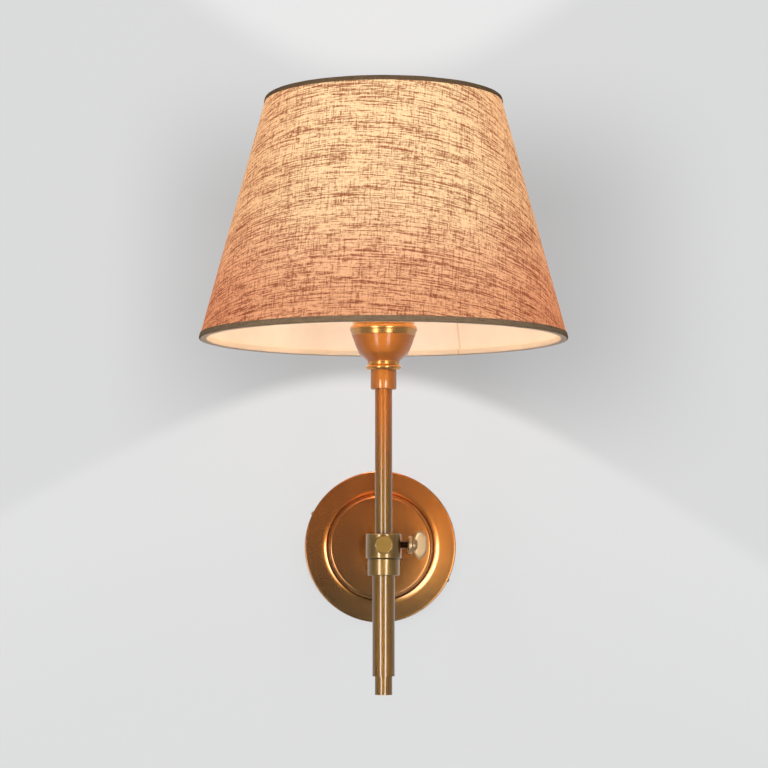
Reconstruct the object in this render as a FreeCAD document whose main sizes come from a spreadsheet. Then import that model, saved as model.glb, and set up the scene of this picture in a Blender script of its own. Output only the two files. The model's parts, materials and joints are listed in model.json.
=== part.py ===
import FreeCAD, Part
import math
import os
import types
import Sketcher
from FreeCAD import Placement, Rotation, Vector

# Wall light with a fabric shade on a height-adjustable stem.
# The origin is the centre of the round wall plate's back, +Z is up and the lamp reaches out along -Y.
# Depths are measured from the wall, heights from the horizontal arm's axis. All lengths are millimetres.

SIZES = {
    # Round wall plate, spun from sheet
    "plate_radius": 56.3,
    "plate_skirt": 10.3,
    "plate_corner": 1.1,
    "plate_cone_rise": 0.6,
    "plate_cove_radius": 44.4,
    "plate_cove_curve": 17.6,
    "plate_slope_depth": 11.6,
    "plate_step_radius": 40.3,
    "plate_groove": 0.9,
    "plate_disc_radius": 37.7,
    "plate_disc_depth": 18.0,
    "plate_disc_round": 1.6,
    "plate_sheet": 1.2,
    # Pressed wall bracket inside the plate, with its fixings
    "bracket_gap": 0.4,
    "bracket_sheet": 1.5,
    "bracket_rim": 5.0,
    "cable_hole_radius": 14.0,
    "slot_spacing": 60.0,
    "slot_length": 12.0,
    "slot_width": 5.0,
    "side_screw_radius": 1.25,
    "side_screw_depth": 3.25,
    "side_screw_length": 4.5,
    "side_screw_proud": 0.9,
    "side_screw_turn": 26.3,
    "earth_radius": 2.0,
    "earth_head_radius": 3.6,
    "earth_head_height": 2.4,
    "earth_head_edge": 1.4,
    "earth_head_flat": 2.2,
    "earth_height": 26.0,
    "terminal_width": 27.0,
    "terminal_height": 11.0,
    "terminal_depth": 11.0,
    "terminal_drop": 27.0,
    "terminal_hole_radius": 1.7,
    "terminal_pitch": 8.0,
    # Horizontal arm
    "stem_reach": 140.0,
    "arm_radius": 7.0,
    "arm_bore_radius": 3.2,
    "arm_thread_radius": 5.0,
    "arm_tail": 9.5,
    "arm_spigot": 2.4,
    "rosette_radius": 9.4,
    "rosette_depth": 4.0,
    "rosette_round": 1.4,
    "washer_radius": 9.0,
    "washer_sheet": 1.0,
    "nut_flats": 14.0,
    "nut_thickness": 3.2,
    # Clamp block, cap, lower collar and guide tube
    "block_radius": 12.25,
    "block_height": 17.0,
    "block_drop": 0.85,
    "block_chamfer": 0.5,
    "arm_seat": 10.0,
    "cap_radius": 6.4,
    "cap_seat": 10.3,
    "cap_height": 4.0,
    "cap_round": 0.8,
    "cap_spigot_radius": 2.6,
    "cap_spigot": 3.2,
    "bush_radius": 3.0,
    "bush_nose_radius": 2.5,
    "bush_wall": 0.8,
    "bush_nose": 1.0,
    "collar_radius": 11.0,
    "collar_height": 11.8,
    "collar_chamfer": 0.6,
    "tube_radius": 7.7,
    "tube_wall": 0.8,
    "tube_length": 68.9,
    "tube_bush_height": 8.0,
    # Sliding stem
    "stem_radius": 6.0,
    "stem_wall": 1.2,
    "stem_nub": 12.7,
    "stem_seat": 9.5,
    "slide_gap": 0.1,
    "travel_down": 85.0,
    "travel_up": 75.0,
    "slot_gap": 0.3,
    "plug_cap": 1.5,
    "plug_spigot": 6.0,
    # Wing screw and its pad
    "screw_radius": 2.5,
    "screw_gap": 0.1,
    "shank_drop": 0.5,
    "pad_length": 2.0,
    "screw_neck": 4.4,
    "wing_collar_radius": 6.1,
    "wing_collar_top": 4.9,
    "wing_collar_disc": 3.0,
    "wing_collar_height": 4.9,
    "wing_collar_curve": 9.0,
    "wing_height": 19.4,
    "wing_length": 8.8,
    "wing_tip_curve": 4.9,
    "wing_end_curve": 19.0,
    "wing_thickness": 3.2,
    "wing_neck": 4.6,
    # Ferrule, neck ring and lampholder cup
    "ferrule_base": 107.45,
    "ferrule_radius": 9.0,
    "ferrule_height": 13.4,
    "ferrule_round": 1.2,
    "nipple_radius": 5.0,
    "nipple_bore_radius": 3.6,
    "nipple_proud": 1.0,
    "neck_ring_radius": 12.3,
    "neck_ring_height": 3.8,
    "neck_ring_curve": 2.3,
    "neck_groove_radius": 11.0,
    "neck_groove_height": 2.0,
    "cup_base_radius": 11.2,
    "cup_base_edge": 0.6,
    "cup_cone_radius": 16.6,
    "cup_cone_height": 5.6,
    "cup_bend_radius": 20.1,
    "cup_bend_height": 13.2,
    "cup_bend_curve": 44.0,
    "cup_radius": 21.9,
    "cup_height": 18.3,
    "cup_sheet": 1.0,
    "rim_radius": 23.6,
    "rim_height": 7.1,
    "rim_band": 2.4,
    "rim_chamfer": 0.5,
    "rim_curve": 2.6,
    "rim_step": 1.0,
    # Lampholder
    "shell_radius": 21.6,
    "shell_tail_radius": 18.4,
    "shell_tail": 13.0,
    "shell_height": 18.0,
    "shell_thread_radius": 19.8,
    "shell_thread_height": 14.0,
    "shell_bore_radius": 17.9,
    "shell_floor": 1.2,
    "socket_gap": 0.1,
    "socket_lift": 4.8,
    "socket_floor": 6.0,
    "screw_shell_radius": 14.0,
    "screw_shell_drop": 2.4,
    "screw_shell_wall": 0.4,
    "contact_radius": 4.0,
    "contact_height": 2.0,
    "contact_flat": 2.4,
    "socket_recess": 9.1,
    "shade_nut_radius": 25.5,
    "shade_nut_height": 7.0,
    "shade_nut_notch": 2.0,
    # Lamp bulb
    "bulb_radius": 30.0,
    "bulb_height": 84.0,
    "bulb_neck_radius": 12.4,
    "bulb_neck_curve": 40.0,
    "bulb_glass": 0.8,
    "bulb_cap_radius": 13.2,
    "bulb_cap_wall": 0.5,
    "bulb_cap_floor": 1.0,
    "bulb_cap_grip": 7.33,
    "bulb_cap_height": 22.0,
    "bulb_tip_radius": 9.0,
    "bulb_tip_flat": 3.6,
    "bulb_tip_height": 3.4,
    "bulb_gap": 0.3,
    # Shade, its wire frame and its trim
    "shade_bottom_radius": 127.8,
    "shade_top_radius": 82.5,
    "shade_height": 168.6,
    "shade_rim_drop": 27.55,
    "cover_thickness": 0.6,
    "lining_thickness": 0.4,
    "wire_radius": 1.6,
    "wire_gap": 0.1,
    "trim_fold": 3.5,
    "trim_thickness": 0.5,
    "trim_bottom_width": 3.4,
    "trim_top_width": 2.8,
    "fitter_sheet": 2.0,
    "fitter_radius": 27.0,
    "fitter_gap": 0.2,
    "spoke_radius": 1.5,
    "spoke_foot": 44.0,
    "spoke_bend": 14.0,
}
# Where the glass ball runs into its neck, as shares of the ball's radius aside and below
GLASS_JOIN = (0.8, 0.6)
# Shares of the wing's half height and of its length at the corners of its outline
WING_SHOULDER = (0.86, 0.16)
WING_TIP = 0.45
WING_END = (0.66, 0.87)
SPOKES = 3
SHADE_NUT_NOTCHES = 8
TERMINAL_POLES = 3

doc = FreeCAD.newDocument("wall_light")
sheet = doc.addObject("Spreadsheet::Sheet", "Sizes")
for row, (alias, number) in enumerate(SIZES.items(), start=1):
    sheet.set("A%d" % row, alias.replace("_", " "))
    sheet.set("B%d" % row, str(number))
    sheet.setAlias("B%d" % row, alias)
doc.recompute()


class Size:
    """A size that carries its formula along, so that an object's property can be bound to it."""

    def __init__(self, value, formula):
        self.value = value
        self.formula = formula

    def __add__(self, other):
        other = as_size(other)
        return Size(self.value + other.value, "(%s + %s)" % (self.formula, other.formula))

    def __sub__(self, other):
        other = as_size(other)
        return Size(self.value - other.value, "(%s - %s)" % (self.formula, other.formula))

    def __mul__(self, other):
        other = as_size(other)
        return Size(self.value * other.value, "(%s * %s)" % (self.formula, other.formula))

    def __truediv__(self, other):
        other = as_size(other)
        return Size(self.value / other.value, "(%s / %s)" % (self.formula, other.formula))

    def __radd__(self, other):
        return as_size(other) + self

    def __rsub__(self, other):
        return as_size(other) - self

    def __rmul__(self, other):
        return as_size(other) * self

    def __neg__(self):
        return as_size(0) - self


def as_size(number):
    if isinstance(number, Size):
        return number
    return Size(float(number), "%r" % float(number))


def root(size):
    return Size(math.sqrt(size.value), "sqrt(%s)" % size.formula)


s = types.SimpleNamespace(**{name: Size(number, "Sizes." + name) for name, number in SIZES.items()})
ZERO = as_size(0)
UPRIGHT = Rotation()
OUT_FROM_WALL = Rotation(Vector(1, 0, 0), 90)
TO_THE_RIGHT = Rotation(Vector(0, 1, 0), 90)

# Heights above the arm's axis that several pieces share
block_top = s.block_height / 2 - s.block_drop
block_bottom = block_top - s.block_height
collar_bottom = block_bottom - s.collar_height
tube_bottom = collar_bottom - s.tube_length
stem_bottom = tube_bottom - s.stem_nub
ferrule_top = s.ferrule_base + s.ferrule_height
neck_ring_top = ferrule_top + s.neck_ring_height
cup_base = neck_ring_top + s.neck_groove_height
cup_top = cup_base + s.cup_height
rim_top = cup_top + s.rim_height
shoulder = rim_top + s.shell_height
fitter_top = shoulder + s.fitter_sheet
shell_top = shoulder + s.shell_thread_height
shell_base = rim_top - s.shell_tail
socket_base = shell_base + s.shell_floor + s.socket_lift
socket_floor_top = socket_base + s.socket_floor
bulb_tip_base = socket_floor_top + s.contact_height + s.bulb_gap
bulb_cap_base = bulb_tip_base + s.bulb_tip_height
bulb_cap_top = bulb_cap_base + s.bulb_cap_height
shade_bottom = shoulder - s.shade_rim_drop
shade_top = shade_bottom + s.shade_height
shade_slope = (s.shade_bottom_radius - s.shade_top_radius) / s.shade_height
block_bore_radius = s.stem_radius + s.slide_gap
tube_bore_radius = s.tube_radius - s.tube_wall
bracket_radius = s.plate_radius - s.plate_sheet - s.bracket_gap
cloth = s.cover_thickness + s.lining_thickness


class Arc:
    """Stands between two corners of an outline and makes the stretch between them an arc."""

    def __init__(self, radius, left=True):
        self.radius = as_size(radius)
        self.left = left


def arc_between(start, end, arc):
    """Arc from start to end, with its centre to the left or right of the way there."""
    chord = end - start
    reach = math.sqrt(max(arc.radius.value ** 2 - (chord.Length / 2) ** 2, 0))
    side = Vector(-chord.y, chord.x, 0) / chord.Length
    centre = (start + end) / 2 + side * (reach if arc.left else -reach)
    first, last = (start, end) if arc.left else (end, start)
    angles = [math.atan2(point.y - centre.y, point.x - centre.x) for point in (first, last)]
    circle = Part.Circle(centre, Vector(0, 0, 1), arc.radius.value)
    return Part.ArcOfCircle(circle, angles[0], angles[1])


def bind(sketch, constraint, size):
    index = sketch.addConstraint(constraint)
    sketch.setExpression("Constraints[%d]" % index, size.formula)


def pin_point(sketch, edge, end, across, up):
    """Hold one end of an edge at a bound place in the sketch."""
    for kind, axis, size in (("DistanceX", -2, across), ("DistanceY", -1, up)):
        if size.formula == ZERO.formula:
            sketch.addConstraint(Sketcher.Constraint("PointOnObject", edge, end, axis))
        else:
            bind(sketch, Sketcher.Constraint(kind, -1, 1, edge, end, size.value), size)


def draw(sketch, outline, closed=True):
    """Draw an outline of corners (across, up), with an Arc item wherever a stretch is round."""
    corners = [item for item in outline if not isinstance(item, Arc)]
    corners = [(as_size(across), as_size(up)) for across, up in corners]
    arcs = {}
    count = 0
    for item in outline:
        if isinstance(item, Arc):
            arcs[count - 1] = item
        else:
            count += 1
    points = [Vector(across.value, up.value, 0) for across, up in corners]
    stretches = len(points) if closed else len(points) - 1
    ends = []
    for index in range(stretches):
        start, following = points[index], points[(index + 1) % len(points)]
        arc = arcs.get(index)
        if arc is None:
            edge = sketch.addGeometry(Part.LineSegment(start, following), False)
        else:
            edge = sketch.addGeometry(arc_between(start, following, arc), False)
        ends.append((edge, 1, 2) if arc is None or arc.left else (edge, 2, 1))
    for index, (edge, first, last) in enumerate(ends):
        if closed or index > 0:
            before = ends[index - 1]
            sketch.addConstraint(Sketcher.Constraint("Coincident", before[0], before[2], edge, first))
        pin_point(sketch, edge, first, *corners[index])
        if index in arcs:
            radius = arcs[index].radius
            bind(sketch, Sketcher.Constraint("Radius", edge, radius.value), radius)
    if not closed:
        pin_point(sketch, ends[-1][0], ends[-1][2], *corners[-1])


def circle_in(sketch, across, up, radius):
    circle = Part.Circle(Vector(as_size(across).value, as_size(up).value, 0), Vector(0, 0, 1), radius.value)
    edge = sketch.addGeometry(circle, False)
    pin_point(sketch, edge, 3, as_size(across), as_size(up))
    bind(sketch, Sketcher.Constraint("Radius", edge, radius.value), radius)


def new_sketch(body, name, role, offset=None):
    sketch = body.newObject("Sketcher::SketchObject", name)
    plane = [feature for feature in body.Origin.OriginFeatures if feature.Role == role][0]
    sketch.AttachmentSupport = [(plane, "")]
    sketch.MapMode = "FlatFace"
    if offset is not None:
        sketch.setExpression("AttachmentOffset.Base.z", offset.formula)
    return sketch


def place(piece, turn=UPRIGHT, across=ZERO, depth=ZERO, height=ZERO):
    """Turn a piece and put it at a bound place: across to the right, depth out from the wall, height up."""
    piece.Placement = Placement(Vector(), turn)
    piece.setExpression("Placement.Base.x", across.formula)
    piece.setExpression("Placement.Base.y", (-depth).formula)
    piece.setExpression("Placement.Base.z", height.formula)
    return piece


def turned_feature(body, name, outline):
    sketch = new_sketch(body, name + "_outline", "XZ_Plane")
    draw(sketch, outline)
    turned = body.newObject("PartDesign::Revolution", name + "_turned")
    turned.Profile = sketch
    turned.ReferenceAxis = (sketch, ["V_Axis"])
    turned.Angle = 360
    return turned


def turned_on_stem(name, outline):
    """A piece turned about the stem's axis: corners are (radius, height)."""
    body = doc.addObject("PartDesign::Body", name)
    turned_feature(body, name, outline)
    return place(body, UPRIGHT, depth=s.stem_reach)


def turned_from_wall(name, outline, depth=ZERO):
    """A piece turned about the arm's axis: corners are (radius, depth from the wall)."""
    body = doc.addObject("PartDesign::Body", name)
    turned_feature(body, name, outline)
    return place(body, OUT_FROM_WALL, depth=depth)


def turned_to_right(name, outline):
    """A piece turned about the wing screw's axis: corners are (radius, distance from the stem's axis)."""
    body = doc.addObject("PartDesign::Body", name)
    turned_feature(body, name, outline)
    return place(body, TO_THE_RIGHT, depth=s.stem_reach)


def ring(inner, outer, low, high):
    return [(inner, low), (outer, low), (outer, high), (inner, high)]


def rod(name, radius, length, turn=UPRIGHT, across=ZERO, depth=ZERO, height=ZERO):
    cylinder = doc.addObject("Part::Cylinder", name)
    cylinder.setExpression("Radius", radius.formula)
    cylinder.setExpression("Height", length.formula)
    return place(cylinder, turn, across, depth, height)


def block(name, width, thickness, tall, across, depth, height):
    """A box centred across on its place, with its back at the given depth and its foot at the height."""
    box = doc.addObject("Part::Box", name)
    box.setExpression("Length", width.formula)
    box.setExpression("Width", thickness.formula)
    box.setExpression("Height", tall.formula)
    return place(box, UPRIGHT, across - width / 2, depth + thickness, height)


def cut(name, base, *tools):
    """Take tools away from a base; the result bears the piece's name."""
    result = base
    for index, tool in enumerate(tools):
        step = doc.addObject("Part::Cut", name + "_cut")
        step.Base = result
        step.Tool = tool
        result = step
    result.Label = name
    return result


def group(name, members):
    compound = doc.addObject("Part::Compound", name)
    compound.Links = members
    return compound


def hexagon(name, flats, bore, low, high):
    """A hexagon nut on its body's own axis, from low to high."""
    body = doc.addObject("PartDesign::Body", name)
    sketch = new_sketch(body, name + "_outline", "XY_Plane", low)
    reach = flats / math.sqrt(3)
    half = flats / 2
    draw(sketch, [(reach, ZERO), (reach / 2, half), (-reach / 2, half),
                  (-reach, ZERO), (-reach / 2, -half), (reach / 2, -half)])
    circle_in(sketch, ZERO, ZERO, bore)
    pad = body.newObject("PartDesign::Pad", name + "_pad")
    pad.Profile = sketch
    pad.setExpression("Length", (high - low).formula)
    return body


# Wall side: plate, bracket and electrical pieces

def backplate():
    inner = s.plate_radius - s.plate_sheet
    groove_depth = s.plate_slope_depth - s.plate_groove
    skirt_inside = s.plate_skirt - s.plate_sheet
    body = turned_from_wall("backplate_blank", [
        (s.plate_radius, ZERO),
        (s.plate_radius, s.plate_skirt - s.plate_corner),
        Arc(s.plate_corner),
        (s.plate_radius - s.plate_corner, s.plate_skirt),
        (s.plate_cove_radius, s.plate_skirt + s.plate_cone_rise),
        Arc(s.plate_cove_curve, left=False),
        (s.plate_step_radius, s.plate_slope_depth),
        (s.plate_step_radius - s.plate_groove, groove_depth),
        (s.plate_disc_radius, groove_depth),
        (s.plate_disc_radius, s.plate_disc_depth - s.plate_disc_round),
        Arc(s.plate_disc_round),
        (s.plate_disc_radius - s.plate_disc_round, s.plate_disc_depth),
        (s.arm_thread_radius + s.slide_gap, s.plate_disc_depth),
        (s.arm_thread_radius + s.slide_gap, s.plate_disc_depth - s.plate_sheet),
        (s.plate_disc_radius - s.plate_sheet, s.plate_disc_depth - s.plate_sheet),
        (s.plate_disc_radius - s.plate_sheet, groove_depth - s.plate_sheet),
        (s.plate_step_radius, groove_depth - s.plate_sheet),
        (s.plate_cove_radius, skirt_inside + s.plate_cone_rise),
        (inner, skirt_inside),
        (inner, ZERO),
    ])
    return cut("backplate", body,
               *side_screw_rods("side_hole", s.side_screw_radius + s.screw_gap, through(s.plate_sheet)))


def through(sheet):
    """Length of a tool that passes through a sheet and stands out on both sides."""
    return sheet * 3


def side_screw_rods(name, radius, length):
    """Two rods through the skirt, opposite each other on a line tilted from level."""
    rods = []
    for number, turn in enumerate((180 - SIZES["side_screw_turn"], -SIZES["side_screw_turn"]), start=1):
        pin = rod("%s_%d" % (name, number), radius, length)
        reach = s.plate_radius + s.side_screw_proud - length
        angle = math.radians(turn)
        aim = Rotation(Vector(0, 1, 0), -turn).multiply(TO_THE_RIGHT)
        place(pin, aim, reach * math.cos(angle), s.side_screw_depth, reach * math.sin(angle))
        rods.append(pin)
    return rods


def side_screws():
    return group("side_screws", side_screw_rods("side_screw", s.side_screw_radius, s.side_screw_length))


def wall_bracket():
    """Pressed dish that the plate is screwed to, with two level slots and a cable hole."""
    rim_inside = bracket_radius - s.bracket_sheet
    body = turned_from_wall("bracket_blank", [
        (s.cable_hole_radius, ZERO),
        (bracket_radius, ZERO),
        (bracket_radius, s.bracket_rim),
        (rim_inside, s.bracket_rim),
        (rim_inside, s.bracket_sheet),
        (s.cable_hole_radius, s.bracket_sheet),
    ])
    tools = side_screw_rods("bracket_tapping", s.side_screw_radius, s.side_screw_length)
    tools.append(rod("earth_tapping", s.earth_radius, through(s.bracket_sheet), OUT_FROM_WALL,
                     depth=-s.bracket_sheet, height=s.earth_height))
    for number, side in enumerate((-1, 1), start=1):
        tools.append(slot_tool("bracket_slot_%d" % number, side))
    return cut("wall_bracket", body, *tools)


def slot_tool(name, side):
    """A round-ended slot that runs level through the bracket, on one side of its centre."""
    centre = s.slot_spacing / 2 * side
    straight = s.slot_length - s.slot_width
    bar = block(name + "_bar", straight, through(s.bracket_sheet), s.slot_width,
                centre, -s.bracket_sheet, -s.slot_width / 2)
    ends = [rod("%s_end_%d" % (name, number), s.slot_width / 2, through(s.bracket_sheet), OUT_FROM_WALL,
                centre + straight / 2 * end, -s.bracket_sheet, ZERO)
            for number, end in enumerate((-1, 1), start=1)]
    fuse = doc.addObject("Part::MultiFuse", name)
    fuse.Shapes = [bar] + ends
    return fuse


def earth_screw():
    """Pan-headed earth screw, tapped into the bracket."""
    body = turned_from_wall("earth_screw", [
        (ZERO, ZERO),
        (s.earth_radius, ZERO),
        (s.earth_radius, s.bracket_sheet),
        (s.earth_head_radius, s.bracket_sheet),
        (s.earth_head_radius, s.bracket_sheet + s.earth_head_edge),
        Arc(s.earth_head_radius),
        (s.earth_head_flat, s.bracket_sheet + s.earth_head_height),
        (ZERO, s.bracket_sheet + s.earth_head_height),
    ])
    body.setExpression("Placement.Base.z", s.earth_height.formula)
    return body


def terminal_block():
    """Nylon connector that stands on the bracket, with a wire hole for each pole."""
    foot = -s.terminal_drop - s.terminal_height / 2
    base = block("terminal_body", s.terminal_width, s.terminal_depth, s.terminal_height,
                 ZERO, s.bracket_sheet, foot)
    tools = []
    for number in range(TERMINAL_POLES):
        across = s.terminal_pitch * (number - (TERMINAL_POLES - 1) / 2)
        tools.append(rod("terminal_hole_%d" % (number + 1), s.terminal_hole_radius, s.terminal_height * 2,
                         UPRIGHT, across, s.bracket_sheet + s.terminal_depth / 2, foot - s.terminal_height / 2))
    return cut("terminal_block", base, *tools)


# Horizontal arm and its fixings

arm_back = s.plate_disc_depth - s.arm_tail
arm_front = s.stem_reach - s.arm_seat


def arm_tube():
    """Turned arm with a threaded tail behind the plate and a spigot in the clamp block."""
    return turned_from_wall("arm_tube", [
        (s.arm_bore_radius, arm_back),
        (s.arm_thread_radius, arm_back),
        (s.arm_thread_radius, s.plate_disc_depth),
        (s.arm_radius, s.plate_disc_depth),
        (s.arm_radius, arm_front),
        (s.arm_thread_radius, arm_front),
        (s.arm_thread_radius, arm_front + s.arm_spigot),
        (s.arm_bore_radius, arm_front + s.arm_spigot),
    ])


def arm_rosette():
    """Turned ring that covers the arm's hole in the plate."""
    top = s.plate_disc_depth + s.rosette_depth
    return turned_from_wall("arm_rosette", [
        (s.arm_radius, s.plate_disc_depth),
        (s.rosette_radius, s.plate_disc_depth),
        (s.rosette_radius, top - s.rosette_round),
        Arc(s.rosette_round),
        (s.rosette_radius - s.rosette_round, top),
        (s.arm_radius, top),
    ])


def arm_washer():
    top = s.plate_disc_depth - s.plate_sheet
    return turned_from_wall("arm_washer", ring(s.arm_thread_radius, s.washer_radius, top - s.washer_sheet, top))


def arm_nut():
    top = s.plate_disc_depth - s.plate_sheet - s.washer_sheet
    body = hexagon("arm_nut", s.nut_flats, s.arm_thread_radius, top - s.nut_thickness, top)
    return place(body, OUT_FROM_WALL)


# Clamp block and what it holds

def clamp_block():
    """Round block on the arm's end, bored for the stem, the arm, the cap and the wing screw."""
    body = turned_on_stem("clamp_blank", [
        (block_bore_radius, block_bottom),
        (s.block_radius - s.block_chamfer, block_bottom),
        (s.block_radius, block_bottom + s.block_chamfer),
        (s.block_radius, block_top - s.block_chamfer),
        (s.block_radius - s.block_chamfer, block_top),
        (block_bore_radius, block_top),
    ])
    length = s.block_radius
    return cut(
        "clamp_block", body,
        rod("arm_spotface", s.arm_radius + s.slide_gap, length, OUT_FROM_WALL, depth=arm_front - length),
        rod("arm_socket", s.arm_thread_radius, length, OUT_FROM_WALL,
            depth=arm_front + s.arm_spigot - length),
        rod("flex_hole", s.bush_radius, length, OUT_FROM_WALL, depth=s.stem_reach - length),
        rod("cap_spotface", s.cap_radius + s.slide_gap, length, OUT_FROM_WALL, depth=s.stem_reach + s.cap_seat),
        rod("cap_hole", s.cap_spigot_radius, length, OUT_FROM_WALL, depth=s.stem_reach),
        rod("screw_hole", s.screw_radius + s.screw_gap, s.block_radius * 2, TO_THE_RIGHT, depth=s.stem_reach),
    )


def front_cap():
    """Round cap that closes the wiring hole in the block's front."""
    base = s.cap_seat
    top = base + s.cap_height
    body = turned_from_wall("front_cap", [
        (ZERO, base - s.cap_spigot),
        (s.cap_spigot_radius, base - s.cap_spigot),
        (s.cap_spigot_radius, base),
        (s.cap_radius, base),
        (s.cap_radius, top - s.cap_round),
        Arc(s.cap_round),
        (s.cap_radius - s.cap_round, top),
        (ZERO, top),
    ], depth=s.stem_reach)
    return body


def flex_bush():
    """Nylon bush between the arm and the stem, with a nose that runs in the stem's slot."""
    back = -s.arm_seat + s.arm_spigot
    shoulder_at = -block_bore_radius
    nose = -s.stem_radius + s.bush_nose
    bore = s.bush_nose_radius - s.bush_wall
    return turned_from_wall("flex_bush", [
        (bore, back),
        (s.bush_radius, back),
        (s.bush_radius, shoulder_at - s.slide_gap),
        (s.bush_nose_radius, shoulder_at - s.slide_gap),
        (s.bush_nose_radius, nose),
        (bore, nose),
    ], depth=s.stem_reach)


def tube_collar():
    """Thick collar under the block, with the guide tube pressed into it."""
    return turned_on_stem("tube_collar", [
        (s.tube_radius, collar_bottom),
        (s.collar_radius - s.collar_chamfer, collar_bottom),
        (s.collar_radius, collar_bottom + s.collar_chamfer),
        (s.collar_radius, block_bottom - s.collar_chamfer),
        (s.collar_radius - s.collar_chamfer, block_bottom),
        (s.tube_radius, block_bottom),
    ])


def guide_tube():
    return turned_on_stem("guide_tube", ring(tube_bore_radius, s.tube_radius, tube_bottom, block_bottom))


def tube_bush():
    """Nylon bush in the guide tube's mouth."""
    top = tube_bottom + s.tube_bush_height
    return turned_on_stem("tube_bush", ring(block_bore_radius, tube_bore_radius, tube_bottom, top))


# Sliding stem

def stem_tube():
    """Sliding stem with a long slot in its back for the flex and the bush's nose."""
    body = turned_on_stem("stem_blank", ring(s.stem_radius - s.stem_wall, s.stem_radius,
                                             stem_bottom + s.plug_cap, s.ferrule_base + s.stem_seat))
    half = s.bush_nose_radius + s.slot_gap
    deep = s.stem_radius * 2
    back = s.stem_reach - deep
    bar = block("stem_slot_bar", half * 2, deep, s.travel_up + s.travel_down, ZERO, back, -s.travel_up)
    ends = [rod("stem_slot_end_%d" % number, half, deep, OUT_FROM_WALL, ZERO, back, height)
            for number, height in enumerate((-s.travel_up, s.travel_down), start=1)]
    return cut("stem_tube", body, bar, *ends)


def stem_plug():
    """Flat plug in the stem's lower end."""
    seat = stem_bottom + s.plug_cap
    return turned_on_stem("stem_plug", [
        (ZERO, stem_bottom),
        (s.stem_radius, stem_bottom),
        (s.stem_radius, seat),
        (s.stem_radius - s.stem_wall, seat),
        (s.stem_radius - s.stem_wall, seat + s.plug_spigot),
        (ZERO, seat + s.plug_spigot),
    ])


# Wing screw

pad_start = s.stem_radius + s.screw_gap
screw_tip = pad_start + s.pad_length
wing_collar_start = s.block_radius + s.screw_neck
wing_start = wing_collar_start + s.wing_collar_height
shank_end = wing_start - s.shank_drop


def clamp_pad():
    """Soft pad that the screw presses against the stem."""
    return turned_to_right("clamp_pad", [
        (ZERO, pad_start), (s.screw_radius, pad_start), (s.screw_radius, screw_tip), (ZERO, screw_tip),
    ])


def wing_screw_shank():
    """Threaded stud, from the pad into the head's blind hole."""
    return turned_to_right("wing_screw_shank", [
        (ZERO, screw_tip), (s.screw_radius, screw_tip), (s.screw_radius, shank_end), (ZERO, shank_end),
    ])


def wing_screw_head():
    """Cast head: a tapered round collar that runs into a flat oval wing."""
    body = doc.addObject("PartDesign::Body", "wing_screw_head")
    turned_feature(body, "wing_collar", [
        (s.screw_radius, wing_collar_start),
        (s.wing_collar_radius, wing_collar_start),
        (s.wing_collar_radius, wing_collar_start + s.wing_collar_disc),
        Arc(s.wing_collar_curve),
        (s.wing_collar_top, wing_start),
        (s.wing_thickness, wing_start + s.wing_thickness / 2),
        (ZERO, wing_start + s.wing_thickness / 2),
        (ZERO, shank_end),
        (s.screw_radius, shank_end),
    ])
    sketch = new_sketch(body, "wing_outline", "XZ_Plane")
    half = s.wing_height / 2
    shoulder_half, shoulder_out = half * WING_SHOULDER[0], wing_start + s.wing_length * WING_SHOULDER[1]
    tip_out = wing_start + s.wing_length * WING_TIP
    end_half, end_out = half * WING_END[0], wing_start + s.wing_length * WING_END[1]
    draw(sketch, [
        (-s.wing_neck, shank_end),
        (s.wing_neck, shank_end),
        (s.wing_neck, wing_start),
        (shoulder_half, shoulder_out),
        Arc(s.wing_tip_curve),
        (half, tip_out),
        Arc(s.wing_tip_curve),
        (end_half, end_out),
        Arc(s.wing_end_curve),
        (-end_half, end_out),
        Arc(s.wing_tip_curve),
        (-half, tip_out),
        Arc(s.wing_tip_curve),
        (-shoulder_half, shoulder_out),
        (-s.wing_neck, wing_start),
    ])
    pad = body.newObject("PartDesign::Pad", "wing_pad")
    pad.Profile = sketch
    pad.Midplane = True
    pad.setExpression("Length", s.wing_thickness.formula)
    return place(body, TO_THE_RIGHT, depth=s.stem_reach)


# Ferrule, neck ring and cup under the lampholder

def ferrule():
    """Turned ferrule on the stem's top, bored for the stem and the threaded nipple."""
    seat = s.ferrule_base + s.stem_seat
    return turned_on_stem("ferrule", [
        (s.stem_radius, s.ferrule_base),
        (s.ferrule_radius - s.ferrule_round, s.ferrule_base),
        Arc(s.ferrule_round),
        (s.ferrule_radius, s.ferrule_base + s.ferrule_round),
        (s.ferrule_radius, ferrule_top),
        (s.nipple_radius, ferrule_top),
        (s.nipple_radius, seat),
        (s.stem_radius, seat),
    ])


def neck_ring():
    """Turned ring with a rounded edge and a dark groove above it."""
    bulge = s.neck_ring_height / 2
    return turned_on_stem("neck_ring", [
        (s.nipple_radius, ferrule_top),
        (s.neck_ring_radius - bulge / 2, ferrule_top),
        Arc(s.neck_ring_curve),
        (s.neck_ring_radius - bulge / 2, neck_ring_top),
        (s.neck_groove_radius, neck_ring_top),
        (s.neck_groove_radius, cup_base),
        (s.nipple_radius, cup_base),
    ])


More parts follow.
